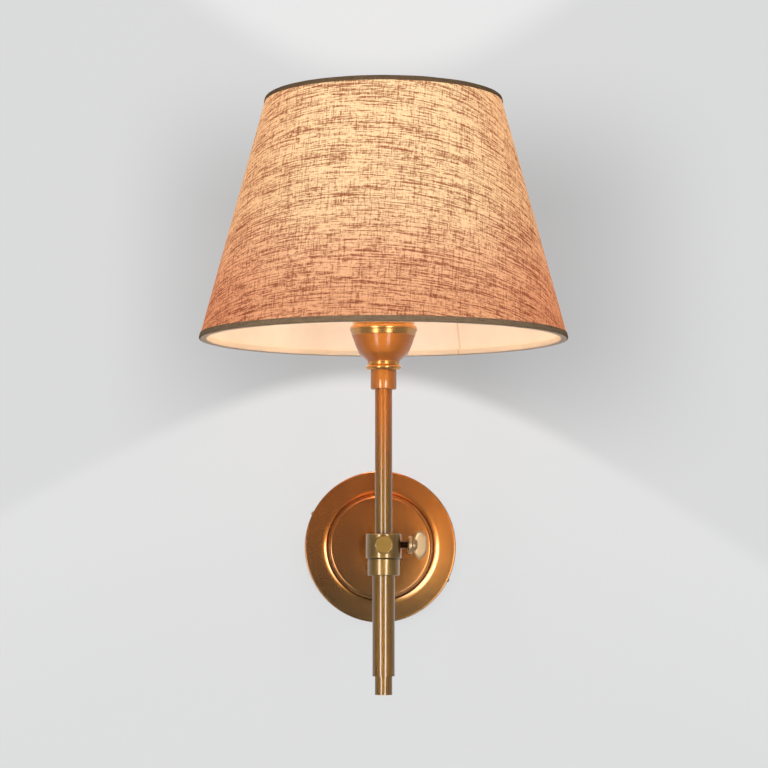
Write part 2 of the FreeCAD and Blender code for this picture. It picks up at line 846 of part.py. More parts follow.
def lampholder_cup():
    """Spun cup: a flat base, a short cone, a round bend and a nearly upright wall."""
    cone_top = cup_base + s.cup_cone_height
    bend_top = cup_base + s.cup_bend_height
    floor = cup_base + s.cup_sheet
    return turned_on_stem("lampholder_cup", [
        (s.nipple_radius, cup_base),
        (s.cup_base_radius, cup_base),
        (s.cup_base_radius, cup_base + s.cup_base_edge),
        (s.cup_cone_radius, cone_top),
        Arc(s.cup_bend_curve),
        (s.cup_bend_radius, bend_top),
        (s.cup_radius, cup_top),
        (s.cup_radius - s.cup_sheet, cup_top),
        (s.cup_bend_radius - s.cup_sheet, bend_top),
        Arc(s.cup_bend_curve - s.cup_sheet, left=False),
        (s.cup_cone_radius - s.cup_sheet, cone_top + s.cup_base_edge),
        (s.cup_base_radius - s.cup_sheet, floor),
        (s.nipple_radius, floor),
    ])


def cup_rim():
    """Turned rim on the cup: a plain band under a rounded bead."""
    inner = s.cup_radius - s.cup_sheet
    band = s.rim_radius - s.rim_step
    return turned_on_stem("cup_rim", [
        (inner, cup_top),
        (s.cup_radius, cup_top),
        (band, cup_top + s.rim_chamfer),
        (band, cup_top + s.rim_band),
        Arc(s.rim_curve),
        (band, rim_top - s.rim_chamfer),
        (s.shell_radius, rim_top),
        (inner, rim_top),
    ])


# Lampholder

def nipple():
    """Threaded tube that holds ferrule, ring, cup and lampholder together."""
    top = shell_base + s.shell_floor + s.nut_thickness + s.nipple_proud
    seat = s.ferrule_base + s.stem_seat
    return turned_on_stem("nipple", ring(s.nipple_bore_radius, s.nipple_radius, seat, top))


def nipple_nuts():
    """Two nuts on the nipple: one in the cup and one on the lampholder's floor."""
    nuts = []
    for number, foot in enumerate((cup_base + s.cup_sheet, shell_base + s.shell_floor), start=1):
        nut = hexagon("nipple_nut_%d" % number, s.nut_flats, s.nipple_radius, foot, foot + s.nut_thickness)
        nuts.append(place(nut, UPRIGHT, depth=s.stem_reach))
    return group("nipple_nuts", nuts)


def holder_shell():
    """Metal case of the lampholder, with a shoulder and a thread for the shade."""
    floor = shell_base + s.shell_floor
    return turned_on_stem("holder_shell", [
        (s.nipple_radius, shell_base),
        (s.shell_tail_radius, shell_base),
        (s.shell_tail_radius, rim_top),
        (s.shell_radius, rim_top),
        (s.shell_radius, shoulder),
        (s.shell_thread_radius, shoulder),
        (s.shell_thread_radius, shell_top),
        (s.shell_bore_radius, shell_top),
        (s.shell_bore_radius, floor),
        (s.nipple_radius, floor),
    ])


def socket_body():
    """Ceramic body that carries the screw shell."""
    radius = s.shell_bore_radius - s.socket_gap
    return turned_on_stem("socket_body", [
        (s.socket_recess, socket_base),
        (radius, socket_base),
        (radius, shell_top - s.shell_floor),
        (s.screw_shell_radius, shell_top - s.shell_floor),
        (s.screw_shell_radius, socket_floor_top),
        (ZERO, socket_floor_top),
        (ZERO, socket_base + s.socket_floor / 2),
        (s.socket_recess, socket_base + s.socket_floor / 2),
    ])


def screw_shell():
    bore = s.screw_shell_radius - s.screw_shell_wall
    top = shell_top - s.screw_shell_drop
    return turned_on_stem("screw_shell", ring(bore, s.screw_shell_radius, socket_floor_top, top))


def centre_contact():
    top = socket_floor_top + s.contact_height
    return turned_on_stem("centre_contact", [
        (ZERO, socket_floor_top),
        (s.contact_radius, socket_floor_top),
        (s.contact_flat, top),
        (ZERO, top),
    ])


def shade_nut():
    """Threaded ring that clamps the shade's fitter on the lampholder, notched for the fingers."""
    body = doc.addObject("PartDesign::Body", "shade_nut")
    turned_feature(body, "shade_nut", [
        (s.shell_thread_radius, fitter_top),
        (s.shade_nut_radius, fitter_top),
        (s.shade_nut_radius, fitter_top + s.shade_nut_height),
        (s.shell_thread_radius, fitter_top + s.shade_nut_height),
    ])
    sketch = new_sketch(body, "shade_nut_notch", "XY_Plane", fitter_top)
    circle_in(sketch, s.shade_nut_radius + s.shade_nut_notch / 2, ZERO, s.shade_nut_notch)
    notch = body.newObject("PartDesign::Pocket", "shade_nut_notch_cut")
    notch.Profile = sketch
    notch.Type = "ThroughAll"
    notch.Midplane = True
    pattern = body.newObject("PartDesign::PolarPattern", "shade_nut_notches")
    pattern.Originals = [notch]
    pattern.Axis = (body.Origin.OriginFeatures[2], [""])
    pattern.Angle = 360
    pattern.Occurrences = SHADE_NUT_NOTCHES
    body.Tip = pattern
    return place(body, UPRIGHT, depth=s.stem_reach)


# Lamp bulb

def bulb_glass():
    """Frosted glass envelope, open at the neck where the cap holds it."""
    neck = bulb_cap_top - s.bulb_cap_grip
    centre = neck + s.bulb_height - s.bulb_radius
    top = centre + s.bulb_radius
    aside, below = GLASS_JOIN
    inner = s.bulb_radius - s.bulb_glass
    return turned_on_stem("bulb_glass", [
        (s.bulb_neck_radius, neck),
        (s.bulb_neck_radius, bulb_cap_top),
        Arc(s.bulb_neck_curve, left=False),
        (s.bulb_radius * aside, centre - s.bulb_radius * below),
        Arc(s.bulb_radius),
        (ZERO, top),
        (ZERO, top - s.bulb_glass),
        Arc(inner, left=False),
        (inner * aside, centre - inner * below),
        Arc(s.bulb_neck_curve + s.bulb_glass),
        (s.bulb_neck_radius - s.bulb_glass, bulb_cap_top),
        (s.bulb_neck_radius - s.bulb_glass, neck),
    ])


def bulb_cap():
    """Metal screw cap on the glass neck."""
    bore = s.bulb_cap_radius - s.bulb_cap_wall
    return turned_on_stem("bulb_cap", [
        (s.bulb_tip_radius, bulb_cap_base),
        (s.bulb_cap_radius, bulb_cap_base),
        (s.bulb_cap_radius, bulb_cap_top),
        (bore, bulb_cap_top),
        (bore, bulb_cap_base + s.bulb_cap_floor),
        (s.bulb_tip_radius, bulb_cap_base + s.bulb_cap_floor),
    ])


def bulb_tip():
    """Insulator and contact under the cap."""
    return turned_on_stem("bulb_tip", [
        (ZERO, bulb_tip_base),
        (s.bulb_tip_flat, bulb_tip_base),
        (s.bulb_tip_radius, bulb_cap_base),
        (s.bulb_tip_radius, bulb_cap_base + s.bulb_cap_floor),
        (ZERO, bulb_cap_base + s.bulb_cap_floor),
    ])


# Shade

def shade_radius(height, inward=ZERO):
    """The cloth's outer radius at a height above the shade's lower edge, less a distance inward."""
    return s.shade_bottom_radius - shade_slope * height - inward


def cone_shell(name, inward, thickness):
    return turned_on_stem(name, [
        (shade_radius(ZERO, inward + thickness), shade_bottom),
        (shade_radius(ZERO, inward), shade_bottom),
        (shade_radius(s.shade_height, inward), shade_top),
        (shade_radius(s.shade_height, inward + thickness), shade_top),
    ])


def shade_cover():
    return cone_shell("shade_cover", ZERO, s.cover_thickness)


def shade_lining():
    return cone_shell("shade_lining", s.cover_thickness, s.lining_thickness)


def wire_circle_radius(height):
    """Radius of a wire ring that lies against the lining at a height above the lower edge."""
    return shade_radius(height, cloth + s.wire_radius + s.wire_gap)


def wire_hoop(name, height):
    """Wire ring against the lining, at a height above the shade's lower edge."""
    body = doc.addObject("PartDesign::Body", name)
    sketch = new_sketch(body, name + "_section", "XZ_Plane")
    circle_in(sketch, wire_circle_radius(height), shade_bottom + height, s.wire_radius)
    hoop = body.newObject("PartDesign::Revolution", name + "_turned")
    hoop.Profile = sketch
    hoop.ReferenceAxis = (sketch, ["V_Axis"])
    hoop.Angle = 360
    return place(body, UPRIGHT, depth=s.stem_reach)


def shade_hoop():
    """Wire ring at the shade's lower edge."""
    return wire_hoop("shade_hoop", s.wire_radius)


top_hoop_height = s.shade_height - s.wire_radius


def fitter_frame(spokes):
    """Welded wire frame: a ring on the lampholder, rising spokes and the shade's top ring."""
    ring_plate = turned_on_stem("fitter_ring", ring(s.shell_thread_radius + s.fitter_gap, s.fitter_radius,
                                                    shoulder, fitter_top))
    frame = doc.addObject("Part::MultiFuse", "fitter_frame")
    frame.Shapes = [ring_plate, wire_hoop("top_hoop", top_hoop_height)] + spokes
    return frame


def spoke(name, turn):
    """A wire that leaves the fitter's ring level, bends once and rises straight to the top ring."""
    body = doc.addObject("PartDesign::Body", name)
    level = shoulder + s.fitter_sheet / 2
    start = s.fitter_radius - s.spoke_radius / 2
    top_across = wire_circle_radius(top_hoop_height)
    top_up = shade_bottom + top_hoop_height
    rise = top_up - level
    spread = top_across - s.spoke_foot
    length = root(rise * rise + spread * spread)
    bend_across = s.spoke_foot + spread * s.spoke_bend / length
    bend_up = level + rise * s.spoke_bend / length
    bend_radius = s.spoke_bend * rise / (length - spread)
    path = new_sketch(body, name + "_path", "XZ_Plane")
    draw(path, [
        (start, level),
        (s.spoke_foot - s.spoke_bend, level),
        Arc(bend_radius),
        (bend_across, bend_up),
        (top_across, top_up),
    ], closed=False)
    section = new_sketch(body, name + "_section", "YZ_Plane", start)
    circle_in(section, ZERO, level, s.spoke_radius)
    pipe = body.newObject("PartDesign::AdditivePipe", name + "_wire")
    pipe.Profile = section
    pipe.Spine = path
    return place(body, Rotation(Vector(0, 0, 1), turn), depth=s.stem_reach)


def trim(name, edge, height, up, width):
    """Cloth tape folded round one edge of the shade: outside, across the edge and up the inside."""
    side = shade_slope * up
    inner = cloth + s.trim_fold
    outer_edge = shade_radius(height)
    inner_edge = outer_edge - inner
    return turned_on_stem(name, [
        (outer_edge + s.trim_thickness, edge - s.trim_thickness * up),
        (outer_edge - side * width + s.trim_thickness, edge + width * up),
        (outer_edge - side * width, edge + width * up),
        (outer_edge, edge),
        (inner_edge, edge),
        (inner_edge - side * width, edge + width * up),
        (inner_edge - side * width - s.trim_thickness, edge + width * up),
        (inner_edge - s.trim_thickness, edge - s.trim_thickness * up),
    ])


def bottom_trim():
    return trim("bottom_trim", shade_bottom, ZERO, 1, s.trim_bottom_width)


def top_trim(spokes):
    """The upper tape, notched where the spokes pass through its inner leg."""
    return cut("top_trim", trim("top_trim_band", shade_top, s.shade_height, -1, s.trim_top_width), *spokes)


spoke_wires = [spoke("spoke_%d" % (number + 1), 90 + 360 * number / SPOKES) for number in range(SPOKES)]


pieces = [
    backplate(), wall_bracket(), side_screws(), earth_screw(), terminal_block(),
    arm_tube(), arm_rosette(), arm_washer(), arm_nut(),
    clamp_block(), front_cap(), flex_bush(), tube_collar(), guide_tube(), tube_bush(),
    stem_tube(), stem_plug(), clamp_pad(), wing_screw_shank(), wing_screw_head(),
    ferrule(), neck_ring(), lampholder_cup(), cup_rim(),
    nipple(), nipple_nuts(), holder_shell(), socket_body(), screw_shell(), centre_contact(), shade_nut(),
    bulb_glass(), bulb_cap(), bulb_tip(),
    shade_cover(), shade_lining(), shade_hoop(), fitter_frame(spoke_wires), bottom_trim(), top_trim(spoke_wires),
]
doc.recompute()

for item in doc.Objects:
    if "Invalid" in item.State or "Error" in item.State:
        raise RuntimeError("%s did not compute: %s" % (item.Label, item.State))
for piece in pieces:
    if piece.Shape.isNull() or not piece.Shape.isValid():
        raise RuntimeError("%s has no valid shape" % piece.Label)

os.makedirs("parts", exist_ok=True)
for piece in pieces:
    piece.Shape.exportStep("parts/%s.step" % piece.Label)
    print("%-18s %d solids %10.1f mm3" % (piece.Label, len(piece.Shape.Solids), piece.Shape.Volume))
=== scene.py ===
import json
import math

import bmesh
import bpy
from bpy.props import FloatProperty, FloatVectorProperty, IntProperty, PointerProperty
from mathutils import Matrix, Vector, noise


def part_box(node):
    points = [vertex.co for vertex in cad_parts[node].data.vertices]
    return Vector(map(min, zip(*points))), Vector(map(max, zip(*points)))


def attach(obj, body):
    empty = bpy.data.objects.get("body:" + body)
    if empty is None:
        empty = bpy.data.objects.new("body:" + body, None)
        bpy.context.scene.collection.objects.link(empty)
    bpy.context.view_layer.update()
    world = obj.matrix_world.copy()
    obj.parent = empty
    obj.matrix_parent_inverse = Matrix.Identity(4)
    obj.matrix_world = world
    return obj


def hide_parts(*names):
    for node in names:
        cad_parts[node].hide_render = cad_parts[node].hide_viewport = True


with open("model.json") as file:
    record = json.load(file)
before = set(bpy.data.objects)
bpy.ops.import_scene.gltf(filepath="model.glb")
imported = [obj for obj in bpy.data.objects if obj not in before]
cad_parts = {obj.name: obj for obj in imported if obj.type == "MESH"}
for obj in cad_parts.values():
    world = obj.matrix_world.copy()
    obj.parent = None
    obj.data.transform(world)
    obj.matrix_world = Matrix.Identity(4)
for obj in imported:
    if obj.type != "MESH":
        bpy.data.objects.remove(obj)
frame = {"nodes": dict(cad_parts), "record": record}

bl_info = {
    "name": "Fabric shade wall light",
    "version": (1, 0, 0),
    "blender": (4, 5, 0),
    "location": "View3D > Sidebar > Wall light",
    "description": "Builds a wall light with a linen shade on a height-adjustable brass stem",
    "category": "Add Mesh",
}

MM = 0.001
BODY_OF = {node: body for body, nodes in frame["record"]["behaviour"]["bodies"].items() for node in nodes}
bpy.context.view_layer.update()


def low(node):
    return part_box(node)[0]


def high(node):
    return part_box(node)[1]


def heights(node):
    return low(node).z, high(node).z


def half_width(node):
    return (high(node).x - low(node).x) / 2


def half_height(node):
    return (high(node).z - low(node).z) / 2


STEM_AXIS = Vector((0, (low("stem_tube").y + high("stem_tube").y) / 2, 0))
SHADE_BOTTOM, SHADE_TOP = heights("shade_cover")
SHADE_BOTTOM_RADIUS = half_width("shade_cover")


def radius_at(node, height):
    """Outer radius of a CAD node that is turned on the stem's axis, at a height where it has points."""
    piece = frame["nodes"][node]
    places = [piece.matrix_world @ vert.co - STEM_AXIS for vert in piece.data.vertices]
    return max(place.xy.length for place in places if abs(place.z - height) < 0.05 * MM)


SHADE_TOP_RADIUS = radius_at("shade_cover", SHADE_TOP)
SHADE_TAPER = SHADE_BOTTOM_RADIUS - SHADE_TOP_RADIUS
SHADE_SLOPE = SHADE_TAPER / (SHADE_TOP - SHADE_BOTTOM)
# Places of pieces that are built upright: on the stem's axis, out from the wall, and from the stem to the right
UPRIGHT = Matrix.Translation(STEM_AXIS)
FROM_WALL = Matrix(((1, 0, 0, 0), (0, 0, -1, 0), (0, 1, 0, 0), (0, 0, 0, 1)))
TO_RIGHT = UPRIGHT @ Matrix(((0, 0, 1, 0), (0, 1, 0, 0), (-1, 0, 0, 0), (0, 0, 0, 1)))
# Angle between two faces from which their edge is sharp, and radius under which a point lies on the axis
SHARP_ANGLE = math.radians(32)
ON_AXIS = 0.001 * MM
# Angles of the two studio lamps from straight in front, in degrees
STRIP_TURNS = (-31, 20)
# Brightness of the backdrop that the camera sees, and of the wall under the studio lamps alone
BACKDROP = 0.72
STUDIO_ON_WALL = 0.100
# Share of red, green and blue light that thin and thick linen let through, against plain linen
THIN_CLOTH = (1.44, 1.98, 2.26)
THICK_CLOTH = (0.46, 0.24, 0.19)
# Painted shade on the glow: share of the light that the shade's left and right sides show, against its front and
# back
SIDE_GLOW = (0.92, 0.74, 0.66)
# How far the brushing of a metal is drawn out: along the stem, round it, or not at all
ALONG_STEM = (1.0, 1.0, 0.02)
ROUND_STEM = (0.1, 0.1, 1.0)
EVEN = (1.0, 1.0, 1.0)
WHITE = (1.0, 1.0, 1.0)
MATT_CLOTH = {"Roughness": 0.9, "Specular IOR Level": 0.15}


# Settings that a user would change

def length_setting(name, description, default, **limits):
    limits.setdefault("min", 0.0)
    return FloatProperty(name=name, description=description, default=default,
                         subtype="DISTANCE", unit="LENGTH", precision=5, **limits)


def angle_setting(name, description, degrees, **limits):
    return FloatProperty(name=name, description=description, default=math.radians(degrees),
                         subtype="ANGLE", unit="ROTATION", **limits)


def strength_setting(name, description, default):
    return FloatProperty(name=name, description=description, default=default, min=0.0)


def colour_setting(name, description, default):
    return FloatVectorProperty(name=name, description=description, default=default,
                               subtype="COLOR", size=3, min=0.0, max=1.0)


class StageSettings(bpy.types.PropertyGroup):
    """Camera, lamps and the plain room round the wall light."""

    camera_place: FloatVectorProperty(
        name="Camera place", description="Where the camera stands", default=(-0.030, -1.778, -0.0172),
        subtype="TRANSLATION", unit="LENGTH", size=3)
    camera_rise: angle_setting("Camera rise", "Angle at which the camera looks up", 4.49)
    camera_turn: angle_setting("Camera turn", "Angle by which the camera is turned to the right", 1.06)
    lens: FloatProperty(
        name="Focal length", description="Focal length of the camera's lens in millimetres",
        default=110.95, min=10.0, subtype="DISTANCE_CAMERA")
    floor_drop: length_setting("Floor drop", "How far the floor lies under the arm's axis", 0.75)
    lamp_strength: strength_setting("Softbox light", "Brightness of the two tall studio lamps", 4.2)
    strip_strength: strength_setting(
        "Strip light", "Brightness of the two tall strips that polished metal mirrors", 18.0)
    strip_width: angle_setting("Strip width", "Angle that each mirrored strip spans", 14.0, min=0.0)
    room_strength: strength_setting("Room light", "Brightness of the even light all round", 0.42)


class BrassSettings(bpy.types.PropertyGroup):
    """Finish of the brass pieces."""

    polished: colour_setting("Brass", "Colour of the aged brass", (0.260, 0.125, 0.020))
    patina: colour_setting("Patina", "Colour of the brass where it has tarnished", (0.240, 0.115, 0.018))
    # Painted warm light: the stem's redder colour towards the bulb stands in for the lit shade's glow on it.
    lamp_lit_colour: colour_setting("Heated brass", "Colour of the stem towards the bulb's heat", (0.490, 0.148, 0.013))
    # Painted warm light: the ferrule's reddish colour stands in for the lit shade's glow on it.
    ferrule_brass: colour_setting("Ferrule brass", "Colour of the ferrule", (0.540, 0.190, 0.026))
    rim_brass: colour_setting("Rim brass", "Colour of the cup's rim and the neck ring", (0.670, 0.310, 0.072))
    clamp_brass: colour_setting("Clamp brass", "Colour of the clamp block and its cap", (0.260, 0.145, 0.030))
    # Partly painted warm light: the cup's red-orange colour also stands in for the lit shade's glow on it.
    cup_brass: colour_setting("Cup brass", "Colour of the satin lampholder cup", (0.570, 0.182, 0.021))
    plate_brass: colour_setting("Plate brass", "Colour of the spun wall plate", (0.225, 0.115, 0.034))
    # Painted warm light: the plate's colour towards its top stands in for the lit shade's glow mirrored in it.
    plate_lamp_lit_colour: colour_setting("Plate, top", "Colour of the plate towards the bulb's heat", (0.600, 0.170, 0.022))
    plate_patina: colour_setting("Plate patina", "Colour of the plate where it has tarnished", (0.180, 0.082, 0.021))
    wing_brass: colour_setting("Wing brass", "Colour of the rubbed wing screw", (0.530, 0.355, 0.195))
    steel: colour_setting("Dark steel", "Colour of the wing screw's blackened stud", (0.130, 0.060, 0.028))
    edge_round: length_setting("Edge round", "Rounding of the turned pieces' edges", 0.25 * MM)
    turning_steps: IntProperty(
        name="Turning steps", description="Number of faces round a turned piece", default=160, min=24)


class ShadeSettings(bpy.types.PropertyGroup):
    """Cloth, lining and tapes of the shade."""

    linen: colour_setting("Linen", "Colour of the unlit linen", (0.270, 0.215, 0.160))
    thick_thread: colour_setting("Thick threads", "Colour of the linen's thick threads", (0.150, 0.085, 0.050))
    lining: colour_setting("Lining", "Colour of the white lining", (0.800, 0.730, 0.620))
    tape: colour_setting("Tape", "Colour of the folded lower tape", (0.370, 0.250, 0.150))
    upper_tape: colour_setting("Upper tape", "Colour of the folded upper tape", (0.250, 0.160, 0.090))
    thread_pitch: length_setting("Thread pitch", "Distance between neighbouring threads", 0.65 * MM, min=0.1 * MM)
    slub_length: length_setting("Slub length", "Usual length of the linen's thick threads", 32.0 * MM, min=1 * MM)
    lap: length_setting("Lap", "Width of the overlap where the cloth's ends meet", 8.0 * MM)
    lap_turn: angle_setting(
        "Lap turn", "Where the overlap stands, turned from the right towards the wall", 62.0)
    grain_turn: angle_setting(
        "Grain turn", "Where the threads run level, turned from the right towards the wall", 254.0)
    lit_top: colour_setting("Glow, top", "Light through the upper cloth", (0.700, 0.345, 0.150))
    lit_middle: colour_setting("Glow, middle", "Light through the middle of the cloth", (0.655, 0.310, 0.133))
    lit_lower: colour_setting("Glow, lower", "Light through the lower cloth", (0.580, 0.200, 0.080))
    lit_bottom: colour_setting("Glow, bottom", "Light through the cloth at its lower edge", (0.500, 0.141, 0.045))


class BulbSettings(bpy.types.PropertyGroup):
    """Lamp bulb and its light."""

    warm: colour_setting("Bulb light", "Colour of the bulb's light", (1.000, 0.640, 0.300))
    power: FloatProperty(
        name="Bulb power", description="Light of the bulb in watts", default=0.5, min=0.0, subtype="POWER")
    glow: strength_setting("Glass glow", "Brightness of the frosted glass", 3.0)
    mirrored_glow: strength_setting(
        "Mirrored glow", "Brightness of the glass as polished metal mirrors it", 60.0)


class ScrewSettings(bpy.types.PropertyGroup):
    """Wing screw that holds the stem."""

    thread_pitch: length_setting("Thread pitch", "Rise of the stud's thread in one turn", 0.8 * MM, min=0.2 * MM)
    thread_depth: length_setting("Thread depth", "Depth of the stud's thread", 0.45 * MM)
    wing_rim: length_setting("Wing rim", "Width of the raised rim round the wing", 1.3 * MM)
    wing_dish: length_setting("Wing dish", "Depth of the hollow in each face of the wing", 0.8 * MM)


SETTINGS = {
    "wall_light_stage": StageSettings,
    "wall_light_brass": BrassSettings,
    "wall_light_shade": ShadeSettings,
    "wall_light_bulb": BulbSettings,
    "wall_light_screw": ScrewSettings,
}


def setting(name):
    return getattr(bpy.context.scene, "wall_light_" + name)


# Meshes

def add_object(name, data):
    thing = bpy.data.objects.new(name, data)
    bpy.context.scene.collection.objects.link(thing)
    return thing


def new_piece(name, shape, material, place=UPRIGHT, closed=True):
    """Turn a mesh into an object in its place, with its material, smooth but for its sharp edges."""
    if closed:
        bmesh.ops.recalc_face_normals(shape, faces=shape.faces)
    shape.transform(place)
    mesh = bpy.data.meshes.new(name)
    shape.to_mesh(mesh)
    shape.free()
    mesh.polygons.foreach_set("use_smooth", [True] * len(mesh.polygons))
    mesh.set_sharp_from_angle(angle=SHARP_ANGLE)
    mesh.materials.append(material)
    return add_object(name, mesh)


def stand_for(piece, slot, *nodes):
    """The piece takes the place of CAD nodes: it rides on their body and they are hidden."""
    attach(piece, BODY_OF[nodes[0]])
    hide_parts(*nodes)
    return piece


def finish_nodes(material, *nodes):
    """Give carried-over CAD nodes a better material."""
    for node in nodes:
        for slot in frame["nodes"][node].material_slots:
            slot.material = material


def bow(start, end, rise, steps=16):
    """Points between two outline points along an arc that rises to the left of the way there."""
    start, end = Vector(start), Vector(end)
    chord = end - start
    side = Vector((-chord.y, chord.x)).normalized()
    reach = chord.length / 2
    radius = (reach * reach + rise * rise) / (2 * abs(rise))
    centre = (start + end) / 2 + side * (rise - math.copysign(radius, rise))
    first = start - centre
    sweep = first.angle_signed(end - centre)
    points = []
    for step in range(1, steps):
        points.append(tuple(centre + Matrix.Rotation(-sweep * step / steps, 2) @ first))
    return points


def rounded(corners, steps=6):
    """Points of a closed outline from corners (across, up) or (across, up, rounding)."""
    outline = []
    for index, corner in enumerate(corners):
        point = Vector(corner[:2])
        if len(corner) < 3:
            outline.append(tuple(point))
            continue
        before = Vector(corners[index - 1][:2]) - point
        after = Vector(corners[(index + 1) % len(corners)][:2]) - point
        half = before.angle(after) / 2
        run = min(corner[2] / math.tan(half), before.length * 0.48, after.length * 0.48)
        radius = run * math.tan(half)
        centre = point + (before.normalized() + after.normalized()).normalized() * (radius / math.sin(half))
        first = point + before.normalized() * run - centre
        last = point + after.normalized() * run - centre
        sweep = first.angle_signed(last)
        for step in range(steps + 1):
            outline.append(tuple(centre + Matrix.Rotation(-sweep * step / steps, 2) @ first))
    return outline


def circle_point(turn, radius, height):
    return Vector((radius * math.cos(turn), radius * math.sin(turn), height))


def ring_of(shape, steps, point_at, *values):
    """A ring of verts: point_at gives each one's place from its angle and the values."""
    return [shape.verts.new(point_at(2 * math.pi * step / steps, *values)) for step in range(steps)]


def join_rings(shape, rings):
    """Add the faces between each ring of verts and the next."""
    for lower, upper in zip(rings, rings[1:]):
        for step in range(len(lower)):
            following = (step + 1) % len(lower)
            shape.faces.new((lower[step], lower[following], upper[following], upper[step]))


def add_face(shape, uv, corners):
    """Add a face from corners of (vert, UV place), unless fewer than three of its verts differ."""
    flat = {}
    for vert, place in corners:
        flat.setdefault(vert, place)
    if len(flat) < 3:
        return None
    face = shape.faces.new(list(flat))
    if uv is not None:
        for loop in face.loops:
            loop[uv].uv = flat[loop.vert]
    return face


def spin(shape, outline, steps, spread=None, point_at=circle_point):
    """Spin a closed outline of (radius, height) points round the upright axis, and return each side's faces.

    The UVs are in metres: along the outline, and round a circle with the radius spread."""
    uv = shape.loops.layers.uv.new("UVMap") if spread else None
    across = 2 * math.pi * (spread or 0.0) / steps
    rings = []
    for radius, height in outline:
        if radius < ON_AXIS:
            rings.append([shape.verts.new((0, 0, height))] * steps)
        else:
            rings.append(ring_of(shape, steps, point_at, radius, height))
    sides = []
    along = 0.0
    for index, lower in enumerate(rings):
        after = (index + 1) % len(rings)
        upper = rings[after]
        further = along + (Vector(outline[after]) - Vector(outline[index])).length
        side = []
        for step in range(steps):
            following = (step + 1) % steps
            left, right = across * step, across * (step + 1)
            side.append(add_face(shape, uv, [
                (lower[step], (left, along)), (lower[following], (right, along)),
                (upper[following], (right, further)), (upper[step], (left, further)),
            ]))
        sides.append(side)
        along = further
    return sides


def turned(name, outline, material, place=UPRIGHT):
    """A piece turned from a closed outline of (radius, height) points."""
    shape = bmesh.new()
    mean_radius = sum(radius for radius, height in outline) / len(outline)
    spin(shape, outline, setting("brass").turning_steps, mean_radius)
    return new_piece(name, shape, material, place)


# Shader helpers

class Field:
    """A number that changes over a surface; arithmetic on it adds Math nodes."""

    def __init__(self, tree, socket):
        self.tree = tree
        self.socket = socket

    def math(self, operation, *others):
        node = self.tree.nodes.new("ShaderNodeMath")
        node.operation = operation
        for index, value in enumerate((self,) + others):
            feed(self.tree, node.inputs[index], value)
        return Field(self.tree, node.outputs[0])

    def __add__(self, other):
        return self.math("ADD", other)

    def __sub__(self, other):
        return self.math("SUBTRACT", other)

    def __mul__(self, other):
        return self.math("MULTIPLY", other)

    def __truediv__(self, other):
        return self.math("DIVIDE", other)

    def smooth(self, start, end, to_start=0.0, to_end=1.0):
        """Smooth step from one value to another as this number goes from start to end."""
        node = self.tree.nodes.new("ShaderNodeMapRange")
        node.interpolation_type = "SMOOTHSTEP"
        for index, value in enumerate((self, start, end, to_start, to_end)):
            feed(self.tree, node.inputs[index], value)
        return Field(self.tree, node.outputs[0])


def feed(tree, socket, value):
    """Link a field or a socket to a socket, or set a plain value on it."""
    if isinstance(value, Field):
        tree.links.new(value.socket, socket)
    elif isinstance(value, bpy.types.NodeSocket):
        tree.links.new(value, socket)
    else:
        if hasattr(value, "__len__") and len(value) == 3 and len(socket.default_value) == 4:
            value = (*value, 1.0)
        socket.default_value = value


def fill(tree, node, inputs):
    """Feed a node's inputs by their names."""
    for name, value in inputs.items():
        feed(tree, node.inputs[name], value)


def add_node(tree, kind, inputs=None, **settings):
    node = tree.nodes.new(kind)
    for name, value in settings.items():
        setattr(node, name, value)
    fill(tree, node, inputs or {})
    return node


def fields(tree, node, *names):
    """A node's named outputs, as fields."""
    return [Field(tree, node.outputs[name]) for name in names]


def axes(tree, place, letters):
    """The coordinates of a place that the letters name, as fields."""
    return fields(tree, add_node(tree, "ShaderNodeSeparateXYZ", {"Vector": place}), *letters)


def object_point(tree):
    return add_node(tree, "ShaderNodeTexCoord").outputs["Object"]


def product(tree, first, second):
    """One colour or vector times another."""
    node = add_node(tree, "ShaderNodeVectorMath", operation="MULTIPLY")
    feed(tree, node.inputs[0], first)
    feed(tree, node.inputs[1], second)
    return node.outputs[0]


def noise_field(tree, vector, scale=1.0, detail=2.0, roughness=0.5):
    node = add_node(tree, "ShaderNodeTexNoise", {
        "Vector": vector, "Scale": scale, "Detail": detail, "Roughness": roughness})
    return Field(tree, node.outputs["Fac"])


def blend(tree, mask, first, second):
    """Colour between two colours by a mask. A Mix node's colours are its inputs 6 and 7 and its output 2."""
    node = add_node(tree, "ShaderNodeMix", {"Factor": mask}, data_type="RGBA")
    feed(tree, node.inputs[6], first)
    feed(tree, node.inputs[7], second)
    return node.outputs[2]


def bump(tree, shader, height, strength, distance):
    node = add_node(tree, "ShaderNodeBump", {"Height": height, "Strength": strength, "Distance": distance})
    feed(tree, shader.inputs["Normal"], node.outputs["Normal"])


def once(store, ending):
    """Make a material or group on the first call, named for its function, and return the same one afterwards."""
    def decorate(make):
        def wrapped():
            name = make.__name__ + ending
            return getattr(bpy.data, store).get(name) or make(name)
        return wrapped
    return decorate


shared_group = once("node_groups", "")
finish = once("materials", "_finish")


def new_group(name, inputs, outputs):
    """An empty shader group with named number, colour or vector sockets: (name, kind, default)."""
    group = bpy.data.node_groups.new(name, "ShaderNodeTree")
    for title, kind, default in inputs:
        socket = group.interface.new_socket(title, in_out="INPUT", socket_type="NodeSocket" + kind)
        socket.default_value = default
    for title in outputs:
        group.interface.new_socket(title, in_out="OUTPUT", socket_type="NodeSocketFloat")
    return group, group.nodes.new("NodeGroupInput").outputs, group.nodes.new("NodeGroupOutput")


